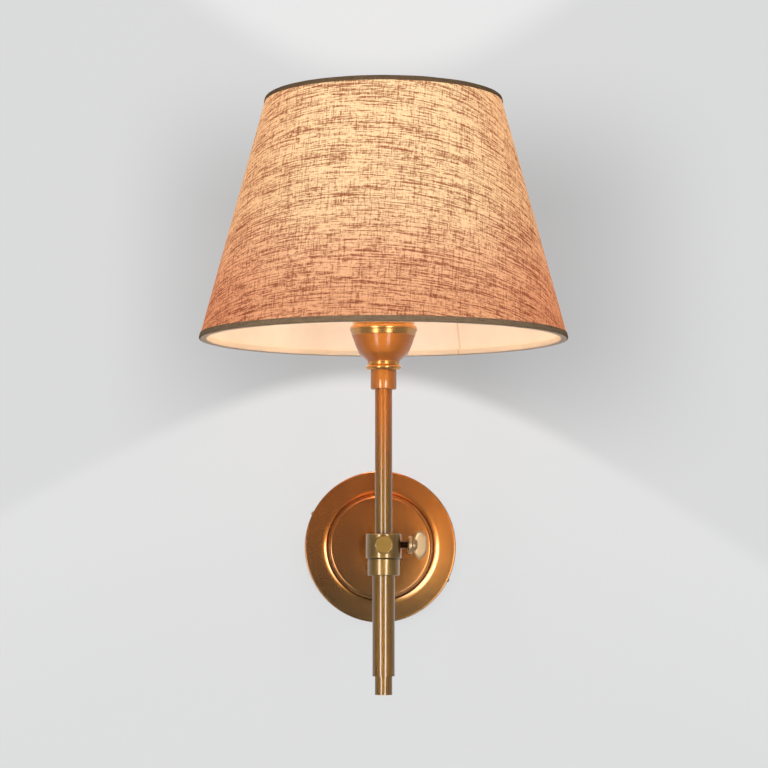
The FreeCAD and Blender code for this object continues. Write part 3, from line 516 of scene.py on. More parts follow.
@shared_group
def metal_wear(name):
    """Tarnish clouds, fine brushing and small marks of a handled metal."""
    group, given, result = new_group(
        name,
        [("Brushing Stretch", "Vector", (1.0, 1.0, 1.0)), ("Brushing Scale", "Float", 900.0),
         ("Cloud Scale", "Float", 55.0), ("Marks", "Float", 0.3)],
        ["Tarnish", "Brushing", "Height"])
    point = object_point(group)
    clouds = noise_field(group, point, given["Cloud Scale"], 4.0, 0.6)
    brushed_point = product(group, point, given["Brushing Stretch"])
    brushing = noise_field(group, brushed_point, given["Brushing Scale"], 2.0, 0.6)
    marks = noise_field(group, point, 420.0, 3.0, 0.7)
    fill(group, result, {
        "Tarnish": clouds.smooth(0.40, 0.68) * 0.7 + marks.smooth(0.55, 0.80) * given["Marks"],
        "Brushing": brushing,
        "Height": brushing + marks * given["Marks"],
    })
    return group


@shared_group
def slub_weave(name):
    """Plain weave with slubs, read from UVs in metres of the flat cut: how thick the cloth is at each place."""
    group, given, result = new_group(
        name,
        [("Thread Pitch", "Float", 0.00065), ("Slub Length", "Float", 0.045)],
        ["Thick", "Uprights", "Threads", "Height"])
    cloth = add_node(group, "ShaderNodeTexCoord").outputs["UV"]
    along, across = axes(group, cloth, "XY")

    def threads_of(run, per_metre, detail, shift):
        """Noise drawn out along the cloth: runs in a slub's length, rows in a metre of its width."""
        place = add_node(group, "ShaderNodeCombineXYZ", {
            "X": along / given["Slub Length"] * run, "Y": across * per_metre, "Z": shift})
        return noise_field(group, place.outputs[0], 1.0, detail, 0.55)

    long_slubs = threads_of(1.0, 900.0, 1.0, 1.7).smooth(0.50, 0.62)
    short_slubs = threads_of(2.4, 1300.0, 1.0, 5.3).smooth(0.48, 0.64)
    fine = threads_of(9.0, 1500.0, 1.0, 9.1).smooth(0.34, 0.66)
    cloudy = threads_of(1.2, 60.0, 3.0, 12.4).smooth(0.30, 0.70)
    uprights = threads_of(30.0, 55.0, 1.0, 20.6).smooth(0.54, 0.66)
    columns = threads_of(34.0, 260.0, 1.0, 31.2).smooth(0.34, 0.66)
    thick = long_slubs * 0.30 + short_slubs * 0.30 + fine * 0.32 + cloudy * 0.14 + columns * 0.22
    weft = (along / given["Thread Pitch"] * (2 * math.pi)).math("SINE")
    warp = (across / given["Thread Pitch"] * (2 * math.pi)).math("SINE")
    threads = weft * warp * 0.5 + 0.5
    fill(group, result, {
        "Thick": thick, "Uprights": uprights, "Threads": threads,
        "Height": threads * 0.1 + thick + uprights * 0.4,
    })
    return group


# Materials

def new_material(name):
    """A material with a bare Principled shader: (material, tree, shader)."""
    material = bpy.data.materials.new(name)
    material.use_nodes = True
    tree = material.node_tree
    tree.nodes.clear()
    shader = tree.nodes.new("ShaderNodeBsdfPrincipled")
    output = tree.nodes.new("ShaderNodeOutputMaterial")
    tree.links.new(shader.outputs["BSDF"], output.inputs["Surface"])
    return material, tree, shader


def darker(colour, share=0.85):
    return tuple(part * share for part in colour)


def metal(name, bright, stretch, roughness, dark=None, lamp_lit_colour=None, warm_glow=(20, 110), marks=0.05, brushed=0.2,
          lacquer=0.0):
    """Metal between a bright and a tarnished colour, brushed one way; warm_glow gives the heights in millimetres
    between which it turns to its lamp-lit colour, a painted warm light that stands in for the lit shade's glow on
    it."""
    material, tree, shader = new_material(name)
    wear = add_node(tree, "ShaderNodeGroup", {"Brushing Stretch": stretch, "Marks": marks}, node_tree=metal_wear())
    tarnish, brushing, height = fields(tree, wear, "Tarnish", "Brushing", "Height")
    mask = tarnish * 0.8 + brushing.smooth(0.35, 0.65) * brushed
    colour = blend(tree, mask, bright, dark or darker(bright))
    # Painted warm light: between the warm_glow heights the colour turns to the lamp-lit colour, in place of the
    # shade's glow on the metal.
    if lamp_lit_colour:
        upward = axes(tree, object_point(tree), "Z")[0]
        warm_glow_share = upward.smooth(warm_glow[0] * MM, warm_glow[1] * MM)
        colour = blend(tree, warm_glow_share, colour, blend(tree, mask, lamp_lit_colour, darker(lamp_lit_colour, 0.92)))
    fill(tree, shader, {
        "Base Color": colour, "Metallic": 1.0, "Roughness": brushing.smooth(0.2, 0.8, *roughness),
        "Coat Weight": lacquer, "Coat Roughness": 0.06,
    })
    bump(tree, shader, height, 0.02, 0.02 * MM)
    return material


@finish
def aged_brass(name):
    """Aged brass of the stem, the arm and the guide tube, brushed lengthwise, with painted warm light from the lit
    shade that reddens it towards the bulb.
    """
    brass = setting("brass")
    return metal(name, brass.polished, ALONG_STEM, (0.58, 0.64), brass.patina, brass.lamp_lit_colour, lacquer=1.0)


@finish
def clamp_brass(name):
    """Cleaner brass of the cast clamp block and its cap."""
    colour = setting("brass").clamp_brass
    return metal(name, colour, (1.0, 1.0, 0.1), (0.40, 0.46), darker(colour, 0.8), lacquer=1.0)


@finish
def ferrule_brass(name):
    """Brass of the ferrule, reddened by painted warm light from the lit shade."""
    return metal(name, setting("brass").ferrule_brass, ALONG_STEM, (0.60, 0.66), lacquer=1.0)


@finish
def rim_brass(name):
    """Yellow polished brass of the cup's rim, the neck ring and the lampholder's case."""
    return metal(name, setting("brass").rim_brass, ROUND_STEM, (0.20, 0.26), lacquer=0.8)


@finish
def cup_brass(name):
    """Satin brass of the lampholder cup, turned and never polished; its red-orange is partly the brass's own tone
    and partly painted warm light from the lit shade.
    """
    return metal(name, setting("brass").cup_brass, ROUND_STEM, (0.60, 0.66), lacquer=1.0)


@finish
def plate_brass(name):
    """Spun wall plate, with upright brushing on a reddish brass and painted warm light from the lit shade, redder
    towards its top.
    """
    brass = setting("brass")
    return metal(name, brass.plate_brass, (1.0, 1.0, 0.03), (0.19, 0.25), brass.plate_patina,
                 brass.plate_lamp_lit_colour, warm_glow=(-55, 60), marks=0.02, brushed=0.4, lacquer=0.8)


@finish
def bright_brass(name):
    """Rubbed brass of the wing screw's head."""
    return metal(name, setting("brass").wing_brass, EVEN, (0.34, 0.42))


@finish
def dark_steel(name):
    steel = setting("brass").steel
    return metal(name, steel, EVEN, (0.32, 0.5), darker(steel, 0.5))


@finish
def zinc_steel(name):
    return metal(name, (0.55, 0.56, 0.57), EVEN, (0.28, 0.45), (0.36, 0.35, 0.33))


def moulded(name, colour, roughness, depth):
    """Moulded or fired body with slight clouding and a fine skin."""
    material, tree, shader = new_material(name)
    point = object_point(tree)
    clouds = noise_field(tree, point, 90.0, 3.0)
    fill(tree, shader, {
        "Base Color": blend(tree, clouds.smooth(0.3, 0.7), colour, darker(colour, 0.88)),
        "Roughness": clouds * 0.2 + roughness,
    })
    bump(tree, shader, noise_field(tree, point, 2200.0), 0.3, depth)
    return material


@finish
def nylon(name):
    return moulded(name, (0.74, 0.73, 0.69), 0.35, 0.02 * MM)


@finish
def ceramic(name):
    return moulded(name, (0.80, 0.78, 0.73), 0.12, 0.01 * MM)


@finish
def bulb_insulator(name):
    return moulded(name, (0.030, 0.028, 0.028), 0.2, 0.01 * MM)


@finish
def white_wire(name):
    """White stoved enamel on the shade's wire frame."""
    return moulded(name, (0.78, 0.76, 0.71), 0.25, 0.03 * MM)


@finish
def bulb_glass(name):
    """Frosted glass that glows, a little less towards its neck."""
    bulb = setting("bulb")
    material, tree, shader = new_material(name)
    point = object_point(tree)
    foot = low("bulb_glass").z
    above_neck = axes(tree, point, "Z")[0].smooth(foot, foot + 30 * MM, 0.25, 1.0)
    mirrored = fields(tree, tree.nodes.new("ShaderNodeLightPath"), "Is Glossy Ray")[0]
    fill(tree, shader, {
        "Base Color": (0.85, 0.82, 0.76),
        "Emission Color": blend(tree, above_neck, (0.30, 0.16, 0.06), (1.0, 0.86, 0.66)),
        "Emission Strength": mirrored * (bulb.mirrored_glow - bulb.glow) + bulb.glow,
        "Roughness": noise_field(tree, point, 300.0) * 0.2 + 0.35,
    })
    return material


def glow_by_height(tree):
    """Light through the cloth: strong at the bulb's height, weaker and redder below and at the sides."""
    shade = setting("shade")
    across, height = axes(tree, object_point(tree), "XZ")
    share = (height - SHADE_BOTTOM) / (SHADE_TOP - SHADE_BOTTOM)
    colour = blend(tree, share.smooth(0.02, 0.30), shade.lit_bottom, shade.lit_lower)
    colour = blend(tree, share.smooth(0.18, 0.55), colour, shade.lit_middle)
    colour = blend(tree, share.smooth(0.45, 0.88), colour, shade.lit_top)
    aside = across.math("ABSOLUTE") / (share * -1.0 * SHADE_TAPER + SHADE_BOTTOM_RADIUS)
    return blend(tree, aside.smooth(0.45, 0.95), colour, product(tree, colour, SIDE_GLOW))


def add_weave(tree, slub_length, *names):
    """The cloth's weave, with slubs of a length: its group node and the outputs that the names ask for."""
    inputs = {"Thread Pitch": setting("shade").thread_pitch, "Slub Length": slub_length}
    weave = add_node(tree, "ShaderNodeGroup", inputs, node_tree=slub_weave())
    return weave, *fields(tree, weave, *names)


@finish
def linen(name):
    """Slubby natural linen that the bulb shines through: the thicker the threads, the darker and redder."""
    shade = setting("shade")
    material, tree, shader = new_material(name)
    weave, thick, uprights, threads = add_weave(tree, shade.slub_length, "Thick", "Uprights", "Threads")
    mask = thick * 1.9 + uprights * 0.36 + threads * 0.05 - 0.66
    through = blend(tree, mask, THIN_CLOTH, THICK_CLOTH)
    fill(tree, shader, {
        "Base Color": blend(tree, mask, shade.linen, shade.thick_thread),
        "Emission Color": product(tree, glow_by_height(tree), through), "Emission Strength": 1.0,
        **MATT_CLOTH,
    })
    bump(tree, shader, weave.outputs["Height"], 0.6, 0.25 * MM)
    return material


@finish
def trim_tape(name):
    """Folded linen tape; the card behind it lets no light through."""
    shade = setting("shade")
    material, tree, shader = new_material(name)
    weave, thick, threads = add_weave(tree, 12 * MM, "Thick", "Threads")
    upward = axes(tree, object_point(tree), "Z")[0]
    tape_colour = blend(tree, upward.smooth(SHADE_BOTTOM, SHADE_TOP), shade.tape, shade.upper_tape)
    shadows = blend(tree, thick + threads * 0.3 - 0.2, WHITE, (0.55, 0.55, 0.55))
    fill(tree, shader, {"Base Color": product(tree, tape_colour, shadows), **MATT_CLOTH})
    bump(tree, shader, weave.outputs["Height"], 0.6, 0.2 * MM)
    return material


def lap_line(tree):
    """1 along the edge where the cloth's ends are lapped."""
    across, deep = axes(tree, object_point(tree), "XY")
    deep = deep - STEM_AXIS.y
    turn = setting("shade").lap_turn
    aside = (across * math.sin(turn) - deep * math.cos(turn)).math("ABSOLUTE")
    outward = across * math.cos(turn) + deep * math.sin(turn)
    return aside.smooth(0.7 * MM, 0.3 * MM) * outward.smooth(0.0, 10 * MM)


def lit_inside(name, lit, unlit):
    """White inner face of the shade, warm where the bulb lights it, with soft clouds and a fine grain."""
    shade = setting("shade")
    material, tree, shader = new_material(name)
    point = object_point(tree)
    clouds = noise_field(tree, point, 35.0, 3.0)
    grain = noise_field(tree, point, 1500.0)
    colour = blend(tree, clouds.smooth(0.3, 0.7), shade.lining, darker(shade.lining, 0.93))
    line = blend(tree, lap_line(tree), WHITE, (0.84, 0.76, 0.68))
    glow = blend(tree, clouds.smooth(0.2, 0.8), lit, unlit)
    fill(tree, shader, {
        "Base Color": product(tree, colour, line),
        "Emission Color": product(tree, glow, line), "Emission Strength": 1.0,
        "Roughness": 0.6, "Specular IOR Level": 0.2,
    })
    bump(tree, shader, grain, 0.25, 0.05 * MM)
    return material


@finish
def lining(name):
    return lit_inside(name, (0.190, 0.130, 0.130), (0.160, 0.110, 0.110))


@finish
def lit_tape(name):
    """The tape's inner leg, which the bulb lights as it lights the lining."""
    return lit_inside(name, (0.10, 0.03, 0.01), (0.06, 0.02, 0.005))


# Stage

def lit_wall(x, z):
    """Painted light and shade on the wall: pools of lamplight below and above, and painted shadow beside and under
    the shade.
    """
    bulb_height, lean, lower_spread, upper_spread = 0.225, -0.06, 1.48, 1.02
    plain_wall, lower_light, lower_gain, upper_gain = 0.735, 0.725, 0.055, 0.10
    reach = (x * x + STEM_AXIS.y * STEM_AXIS.y).math("SQRT")
    lower_edge = x * lean - reach / lower_spread + bulb_height
    upper_edge = reach * upper_spread + bulb_height
    lower_pool = (lower_edge - z).smooth(-0.006, 0.012)
    upper_pool = (z - upper_edge).smooth(-0.030, 0.012)
    # Painted shadow beside the shade, deeper on the right.
    beside = z.smooth(0.02, 0.17) * z.smooth(0.38, 0.25)
    right = x.smooth(0.29, 0.10, 0.0, 0.21)
    left = x.smooth(-0.22, -0.09, 0.0, 0.175)
    # Painted shadow just under the shade's back edge.
    under = x.math("ABSOLUTE").smooth(0.130, 0.060, 0.0, 0.04) * z.smooth(0.17, 0.14)
    dusk = x.smooth(-0.02, 0.02, left, right) * beside + under
    fade = (lower_edge - z).smooth(0.0, 0.20, 1.0, 0.60)
    unlit = dusk * -1.0 + plain_wall
    pools = unlit + lower_pool * (unlit * -1.0 + lower_light + fade * lower_gain)
    return pools + upper_pool * upper_gain


def wall_material():
    """Matt wall: the camera sees its grey with painted pools of lamplight and painted shadow beside the shade, lit
    by the studio for real shadows, clear behind.
    """
    material, tree, shader = new_material("matt_wall")
    x, z = axes(tree, object_point(tree), "XZ")
    path = tree.nodes.new("ShaderNodeLightPath")
    camera, glossy, through = fields(tree, path, "Is Camera Ray", "Is Glossy Ray", "Is Transmission Ray")
    seen = (camera + glossy + through).math("MINIMUM", 1.0)
    painted_wall_light = (lit_wall(x, z) - STUDIO_ON_WALL) * seen
    fill(tree, shader, {
        "Base Color": (0.100, 0.107, 0.114), "Roughness": 0.95, "Specular IOR Level": 0.0,
        "Emission Color": add_node(tree, "ShaderNodeCombineXYZ", {"X": painted_wall_light, "Y": painted_wall_light, "Z": painted_wall_light}).outputs[0],
        "Emission Strength": 1.0,
    })
    output = shader.outputs["BSDF"].links[0].to_node
    clear = tree.nodes.new("ShaderNodeBsdfTransparent")
    behind = tree.nodes.new("ShaderNodeNewGeometry").outputs["Backfacing"]
    mix = add_node(tree, "ShaderNodeMixShader", {"Fac": behind})
    tree.links.new(shader.outputs["BSDF"], mix.inputs[1])
    tree.links.new(clear.outputs["BSDF"], mix.inputs[2])
    tree.links.new(mix.outputs["Shader"], output.inputs["Surface"])
    return material


def floor_material():
    material, tree, shader = new_material("pale_floor")
    grain = noise_field(tree, object_point(tree), 3.0)
    fill(tree, shader, {
        "Base Color": blend(tree, grain, (0.62, 0.62, 0.62), (0.58, 0.58, 0.58)), "Roughness": 0.9})
    return material


def plane(name, corners, material):
    mesh = bpy.data.meshes.new(name)
    mesh.from_pydata(corners, [], [(0, 1, 2, 3)])
    mesh.materials.append(material)
    sheet = add_object(name, mesh)
    return sheet


def studio_world():
    """Even room light; metal sees a dim room with paler sides and ceiling, and the two tall strips in it."""
    stage = setting("stage")
    world = bpy.data.worlds.new("studio")
    bpy.context.scene.world = world
    world.use_nodes = True
    tree = world.node_tree
    tree.nodes.clear()
    x, y, upward = axes(tree, add_node(tree, "ShaderNodeTexCoord").outputs["Generated"], "XYZ")
    dim = x.math("ABSOLUTE").smooth(0.45, 0.95, 0.40, 0.50) + upward.smooth(0.2, 0.9, 0.0, 0.15)
    turn = x.math("ARCTAN2", y * -1.0)
    tall = upward.smooth(-0.78, -0.50) * upward.smooth(0.09, -0.01) * upward.smooth(-0.60, -0.05, 0.30, 1.0)
    for middle in STRIP_TURNS:
        aside = (turn - math.radians(middle)).math("ABSOLUTE")
        dim = dim + aside.smooth(stage.strip_width * 0.56, stage.strip_width * 0.44) * tall * stage.strip_strength
    glossy, camera = fields(tree, tree.nodes.new("ShaderNodeLightPath"), "Is Glossy Ray", "Is Camera Ray")
    room = glossy * (dim - stage.room_strength) + stage.room_strength
    background = add_node(tree, "ShaderNodeBackground", {"Strength": camera * (room * -1.0 + BACKDROP) + room})
    output = tree.nodes.new("ShaderNodeOutputWorld")
    tree.links.new(background.outputs["Background"], output.inputs["Surface"])


def add_lamp(name, kind, place, energy, **values):
    """A lamp that isn't seen itself, neither by the camera nor in polished metal."""
    light = bpy.data.lights.new(name, kind)
    light.energy = energy
    for key, value in values.items():
        setattr(light, key, value)
    lamp = add_object(name, light)
    lamp.matrix_world = place
    lamp.visible_camera = False
    lamp.visible_glossy = False


def softbox(name, turn, strength):
    """A tall lamp that faces the stem, turned by an angle from straight in front."""
    width, height, away, rise = 0.42, 2.0, 2.0, 0.20
    place = STEM_AXIS + Vector((away * math.sin(turn), -away * math.cos(turn), rise))
    aim = STEM_AXIS - place
    aim.z = 0
    facing = Matrix.Translation(place) @ aim.to_track_quat("-Z", "Y").to_matrix().to_4x4()
    add_lamp(name, "AREA", facing, strength * math.pi * width * height,
             shape="RECTANGLE", size=width, size_y=height)


class WALL_LIGHT_OT_stage(bpy.types.Operator):
    """Set up the camera, the wall, the floor, the studio lamps and the world"""

    bl_idname = "wall_light.stage"
    bl_label = "Stage"

    def execute(self, context):
        stage = setting("stage")
        lens = bpy.data.cameras.new("camera")
        lens.lens = stage.lens
        lens.sensor_width = 36.0
        camera = add_object("camera", lens)
        camera.location = stage.camera_place
        camera.rotation_euler = (math.pi / 2 + stage.camera_rise, 0.0, -stage.camera_turn)
        context.scene.camera = camera
        context.scene.view_settings.view_transform = "Standard"
        span, behind, foot = 2.4, 0.4 * MM, -stage.floor_drop
        left, right = (-span, behind, foot), (span, behind, foot)
        plane("wall", [left, right, (span, behind, span), (-span, behind, span)], wall_material())
        floor = plane("floor", [(-span, -span * 2, foot), (span, -span * 2, foot), right, left], floor_material())
        floor.visible_glossy = False
        for side, turn in zip(("left", "right"), STRIP_TURNS):
            softbox("softbox_" + side, math.radians(turn), stage.lamp_strength)
        studio_world()
        return {"FINISHED"}


# Wall side

class WALL_LIGHT_OT_plate(bpy.types.Operator):
    """Spin the wall plate: skirt, shallow cone, cove, step and raised disc"""

    bl_idname = "wall_light.plate"
    bl_label = "Wall plate"

    def execute(self, context):
        brass = setting("brass")
        radius = half_width("backplate")
        disc_depth = -low("backplate").y
        sheet = 1.2 * MM
        skirt, slope = 10.3 * MM, 11.6 * MM
        cove_radius, cove_foot = 44.4 * MM, skirt + 0.6 * MM
        step_radius, groove, disc_radius = 40.3 * MM, 0.9 * MM, 37.7 * MM
        hole = half_width("arm_tube") * 0.73
        small = brass.edge_round
        corners = [
            (radius, 0.0, small), (radius, skirt, 1.1 * MM),
            (radius - 1.8 * MM, skirt + 0.04 * MM), (cove_radius + 0.8 * MM, cove_foot - 0.05 * MM),
            (cove_radius, cove_foot), *bow((cove_radius, cove_foot), (step_radius, slope), 0.12 * MM),
            (step_radius, slope, small), (step_radius - groove, slope - groove, small),
            (disc_radius, slope - groove, small), (disc_radius, disc_depth, 1.5 * MM),
            (hole, disc_depth, small), (hole, disc_depth - sheet), (disc_radius - sheet, disc_depth - sheet),
            (disc_radius - sheet, slope - groove - sheet), (step_radius, slope - groove - sheet),
            (cove_radius, cove_foot - sheet), (radius - sheet, skirt - sheet), (radius - sheet, 0.0),
        ]
        plate = turned("spun_plate", rounded(corners), plate_brass(), FROM_WALL)
        stand_for(plate, "plate_brass", "backplate")
        return {"FINISHED"}


class WALL_LIGHT_OT_fixings(bpy.types.Operator):
    """Finish the bracket, its screws, the terminal block and the arm's fixings"""

    bl_idname = "wall_light.fixings"
    bl_label = "Fixings"

    def execute(self, context):
        finish_nodes(zinc_steel(), "wall_bracket", "arm_washer", "arm_nut")
        finish_nodes(aged_brass(), "side_screws", "earth_screw")
        finish_nodes(nylon(), "terminal_block", "flex_bush", "tube_bush")
        return {"FINISHED"}


class WALL_LIGHT_OT_arm(bpy.types.Operator):
    """Finish the horizontal arm and its rosette"""

    bl_idname = "wall_light.arm"
    bl_label = "Arm"

    def execute(self, context):
        finish_nodes(aged_brass(), "arm_tube", "arm_rosette")
        return {"FINISHED"}


class WALL_LIGHT_OT_clamp(bpy.types.Operator):
    """Finish the clamp block, its cap, the collar and the guide tube"""

    bl_idname = "wall_light.clamp"
    bl_label = "Clamp"

    def execute(self, context):
        finish_nodes(clamp_brass(), "clamp_block", "front_cap", "tube_collar")
        finish_nodes(aged_brass(), "guide_tube")
        return {"FINISHED"}


class WALL_LIGHT_OT_stem(bpy.types.Operator):
    """Finish the sliding stem and its plug"""

    bl_idname = "wall_light.stem"
    bl_label = "Stem"

    def execute(self, context):
        finish_nodes(aged_brass(), "stem_tube", "stem_plug")
        return {"FINISHED"}


# Wing screw

def threaded_stud(name, radius, start, end, material):
    """A stud with a real screw thread: its radius rises and falls once in each pitch round a helix."""
    screw = setting("screw")
    pitch, depth = screw.thread_pitch, screw.thread_depth
    around, rows_in_pitch = 32, 8

    def thread_point(turn, height):
        taper = max(0.0, min(1.0, (height - start) / pitch, (end - height) / pitch))
        phase = (height / pitch - turn / (2 * math.pi)) % 1.0
        groove = 1 - abs(phase * 2 - 1)
        return circle_point(turn, radius - depth * groove * taper, height)

    shape = bmesh.new()
    rows = int((end - start) / pitch * rows_in_pitch)
    rings = [ring_of(shape, around, thread_point, start + (end - start) * row / rows) for row in range(rows + 1)]
    join_rings(shape, rings)
    shape.faces.new(list(reversed(rings[0])))
    shape.faces.new(rings[-1])
    return new_piece(name, shape, material, TO_RIGHT)


def add_wing(shape, tip, half_long, half_tall, half_thick):
    """Add an oval wing with dished faces inside a raised round rim, flat across the mesh's second axis."""
    screw = setting("screw")
    rim, dish = screw.wing_rim, screw.wing_dish
    around = 72
    centre, floor = tip - half_long, half_thick - dish
    edge = [(0.0, 0.0), (0.06, 0.45), (0.22, 0.80), (0.45, 0.97), (0.60, 1.0), (0.80, 0.93), (0.92, 0.80)]
    section = [(inset * rim, share * half_thick) for inset, share in edge]
    section += [(rim, floor + 0.10 * dish), (rim * 1.25, floor), (rim * 2.2, floor), (rim * 3.2, floor)]

    def wing_point(turn, inset, thick):
        return (half_tall - inset) * math.sin(turn), thick, centre + (half_long - inset) * math.cos(turn)

    outer_ring = ring_of(shape, around, wing_point, *section[0])
    for side in (1, -1):
        inner_rings = [ring_of(shape, around, wing_point, inset, side * thick) for inset, thick in section[1:]]
        join_rings(shape, [outer_ring] + inner_rings)
        last = inner_rings[-1]
        hub = shape.verts.new((0, side * floor, centre))
        for step in range(around):
            shape.faces.new((last[step], last[(step + 1) % around], hub))


def wing_head(name, node, stud_radius, material):
    """Cast head: a turned disc and dome with the stud's blind hole, running into the oval wing."""
    base, tip = low(node).x, high(node).x
    disc, dome = base + 3.0 * MM, base + 4.9 * MM
    hole_end = dome - 0.5 * MM
    shape = bmesh.new()
    spin(shape, rounded([
        (stud_radius, base), (4.6 * MM, base, 0.5 * MM), (6.1 * MM, base + 0.7 * MM, 0.5 * MM),
        (6.1 * MM, disc, 0.8 * MM), (4.5 * MM, disc + 0.5 * MM, 0.6 * MM), (4.1 * MM, dome, 1.2 * MM),
        (3.2 * MM, dome + 1.6 * MM, 1.2 * MM), (0.0, dome + 2.2 * MM), (0.0, hole_end), (stud_radius, hole_end),
    ]), 48)
    add_wing(shape, tip, 5.0 * MM, half_height(node), 1.6 * MM)
    return new_piece(name, shape, material, TO_RIGHT)


class WALL_LIGHT_OT_wing_screw(bpy.types.Operator):
    """Cut the stud's thread, cast the wing screw's head and finish its pad"""

    bl_idname = "wall_light.wing_screw"
    bl_label = "Wing screw"

    def execute(self, context):
        shank, head = "wing_screw_shank", "wing_screw_head"
        radius = half_height(shank)
        stud = threaded_stud("threaded_stud", radius, low(shank).x, high(shank).x, dark_steel())
        stand_for(stud, "dark_steel", shank)
        stand_for(wing_head("dished_wing_head", head, radius, bright_brass()), "aged_brass", head)
        finish_nodes(nylon(), "clamp_pad")
        return {"FINISHED"}


# Lampholder

class WALL_LIGHT_OT_cup(bpy.types.Operator):
    """Turn the ferrule, the neck ring, the cup and its rim, with softened edges"""

    bl_idname = "wall_light.cup"
    bl_label = "Cup"

    def execute(self, context):
        soft = setting("brass").edge_round
        bore = half_width("nipple")
        foot, top = heights("ferrule")
        radius, inner = half_width("ferrule"), half_width("stem_tube")
        seat = high("stem_tube").z
        outlines = {"ferrule": [
            (inner, foot), (radius, foot, 1.2 * MM), (radius, top, soft), (bore, top), (bore, seat), (inner, seat),
        ]}
        foot, top = heights("neck_ring")
        radius, groove = half_width("neck_ring"), 11.0 * MM
        ring_top = top - 2.0 * MM
        outlines["neck_ring"] = [
            (bore, foot), (radius - 1.2 * MM, foot, 0.8 * MM), (radius, (foot + ring_top) / 2 - 0.5 * MM, 0.9 * MM),
            (radius, (foot + ring_top) / 2 + 0.5 * MM, 0.9 * MM), (radius - 1.0 * MM, ring_top, 0.8 * MM),
            (groove, ring_top), (groove, top), (bore, top),
        ]
        foot, top = heights("lampholder_cup")
        base, cone, bend, sheet = 11.2 * MM, 16.6 * MM, 20.1 * MM, 1.0 * MM
        radius = half_width("lampholder_cup")
        cone_top, bend_top = foot + 5.6 * MM, foot + 13.2 * MM
        outlines["lampholder_cup"] = [
            (bore, foot), (base, foot, soft), (base, foot + 0.6 * MM, soft), (cone, cone_top),
            *bow((cone, cone_top), (bend, bend_top), -0.20 * MM), (bend, bend_top), (radius, top),
            (radius - sheet, top), (bend - sheet, bend_top),
            *bow((bend - sheet, bend_top), (cone - sheet, cone_top + 0.6 * MM), 0.18 * MM),
            (cone - sheet, cone_top + 0.6 * MM), (base - sheet, foot + sheet), (bore, foot + sheet),
        ]
        foot, rim_top = top, high("cup_rim").z
        rim = half_width("cup_rim")
        band_foot = (rim - 1.5 * MM, foot + 0.3 * MM)
        bead_foot, bead_top = (rim - 0.6 * MM, foot + 3.0 * MM), (rim - 0.8 * MM, rim_top - 0.4 * MM)
        outlines["cup_rim"] = [
            (radius - sheet, foot), (radius, foot, soft), (*band_foot, 0.2 * MM), (*bead_foot, 0.3 * MM),
            *bow(bead_foot, bead_top, -0.70 * MM), bead_top, (rim - 2.1 * MM, rim_top, soft),
            (radius - sheet, rim_top),
        ]
        finishes = {"ferrule": ferrule_brass, "neck_ring": rim_brass, "lampholder_cup": cup_brass,
                    "cup_rim": rim_brass}
        for node, outline in outlines.items():
            stand_for(turned("turned_" + node, rounded(outline), finishes[node]()), "aged_brass", node)
        return {"FINISHED"}


class WALL_LIGHT_OT_lampholder(bpy.types.Operator):
    """Finish the lampholder's case, socket and contacts, and the shade's nut"""

    bl_idname = "wall_light.lampholder"
    bl_label = "Lampholder"

    def execute(self, context):
        finish_nodes(aged_brass(), "nipple", "nipple_nuts", "shade_nut", "centre_contact")
        finish_nodes(rim_brass(), "holder_shell")
        finish_nodes(ceramic(), "socket_body")
        finish_nodes(bright_brass(), "screw_shell")
        return {"FINISHED"}


class WALL_LIGHT_OT_bulb(bpy.types.Operator):
    """Finish the bulb and put its light inside it"""

    bl_idname = "wall_light.bulb"
    bl_label = "Bulb"

    def execute(self, context):
        bulb = setting("bulb")
        finish_nodes(bulb_glass(), "bulb_glass")
        finish_nodes(zinc_steel(), "bulb_cap")
        finish_nodes(bulb_insulator(), "bulb_tip")
        radius = half_width("bulb_glass")
        middle = STEM_AXIS + Vector((0, 0, high("bulb_glass").z - radius))
        add_lamp("bulb_light", "POINT", Matrix.Translation(middle), bulb.power,
                 color=bulb.warm, shadow_soft_size=radius + 1 * MM)
        frame["nodes"]["bulb_glass"].visible_shadow = False
        return {"FINISHED"}


# Shade

def cloth_cone(name, inward, material):
    """A cone of cloth, cut flat from a ring sector, with its ends lapped; its UVs are the flat cut in metres."""
    shade = setting("shade")
    tilt = math.atan(SHADE_SLOPE)
    steps, rows = 240, 48
    sweep = 2 * math.pi + shade.lap / SHADE_BOTTOM_RADIUS
    lap_run, lap_rise = 0.12, 0.35 * MM
    shape = bmesh.new()
    uv = shape.loops.layers.uv.new("UVMap")
    grid = []
    for step in range(steps + 1):
        turn = shade.lap_turn + sweep * step / steps
        over = (sweep * step / steps - 2 * math.pi + lap_run) / lap_run
        rise = math.copysign(lap_rise, -inward) * min(max(over, 0.0), 1.0)
        flat_turn = (turn - shade.grain_turn) * math.sin(tilt)
        column = []
        for row in range(rows + 1):
            height = SHADE_BOTTOM + (SHADE_TOP - SHADE_BOTTOM) * row / rows
            radius = SHADE_BOTTOM_RADIUS - SHADE_SLOPE * (height - SHADE_BOTTOM) - inward + rise
            reach = (SHADE_BOTTOM_RADIUS / SHADE_SLOPE + SHADE_BOTTOM - height) / math.cos(tilt)
            flat = (reach * math.sin(flat_turn), -reach * math.cos(flat_turn))
            column.append((shape.verts.new(circle_point(turn, radius, height)), flat))
        grid.append(column)
    for here, there in zip(grid, grid[1:]):
        for row in range(rows):
            add_face(shape, uv, [here[row], there[row], there[row + 1], here[row + 1]])
    if inward > 0:
        bmesh.ops.reverse_faces(shape, faces=shape.faces)
    return new_piece(name, shape, material, closed=False)


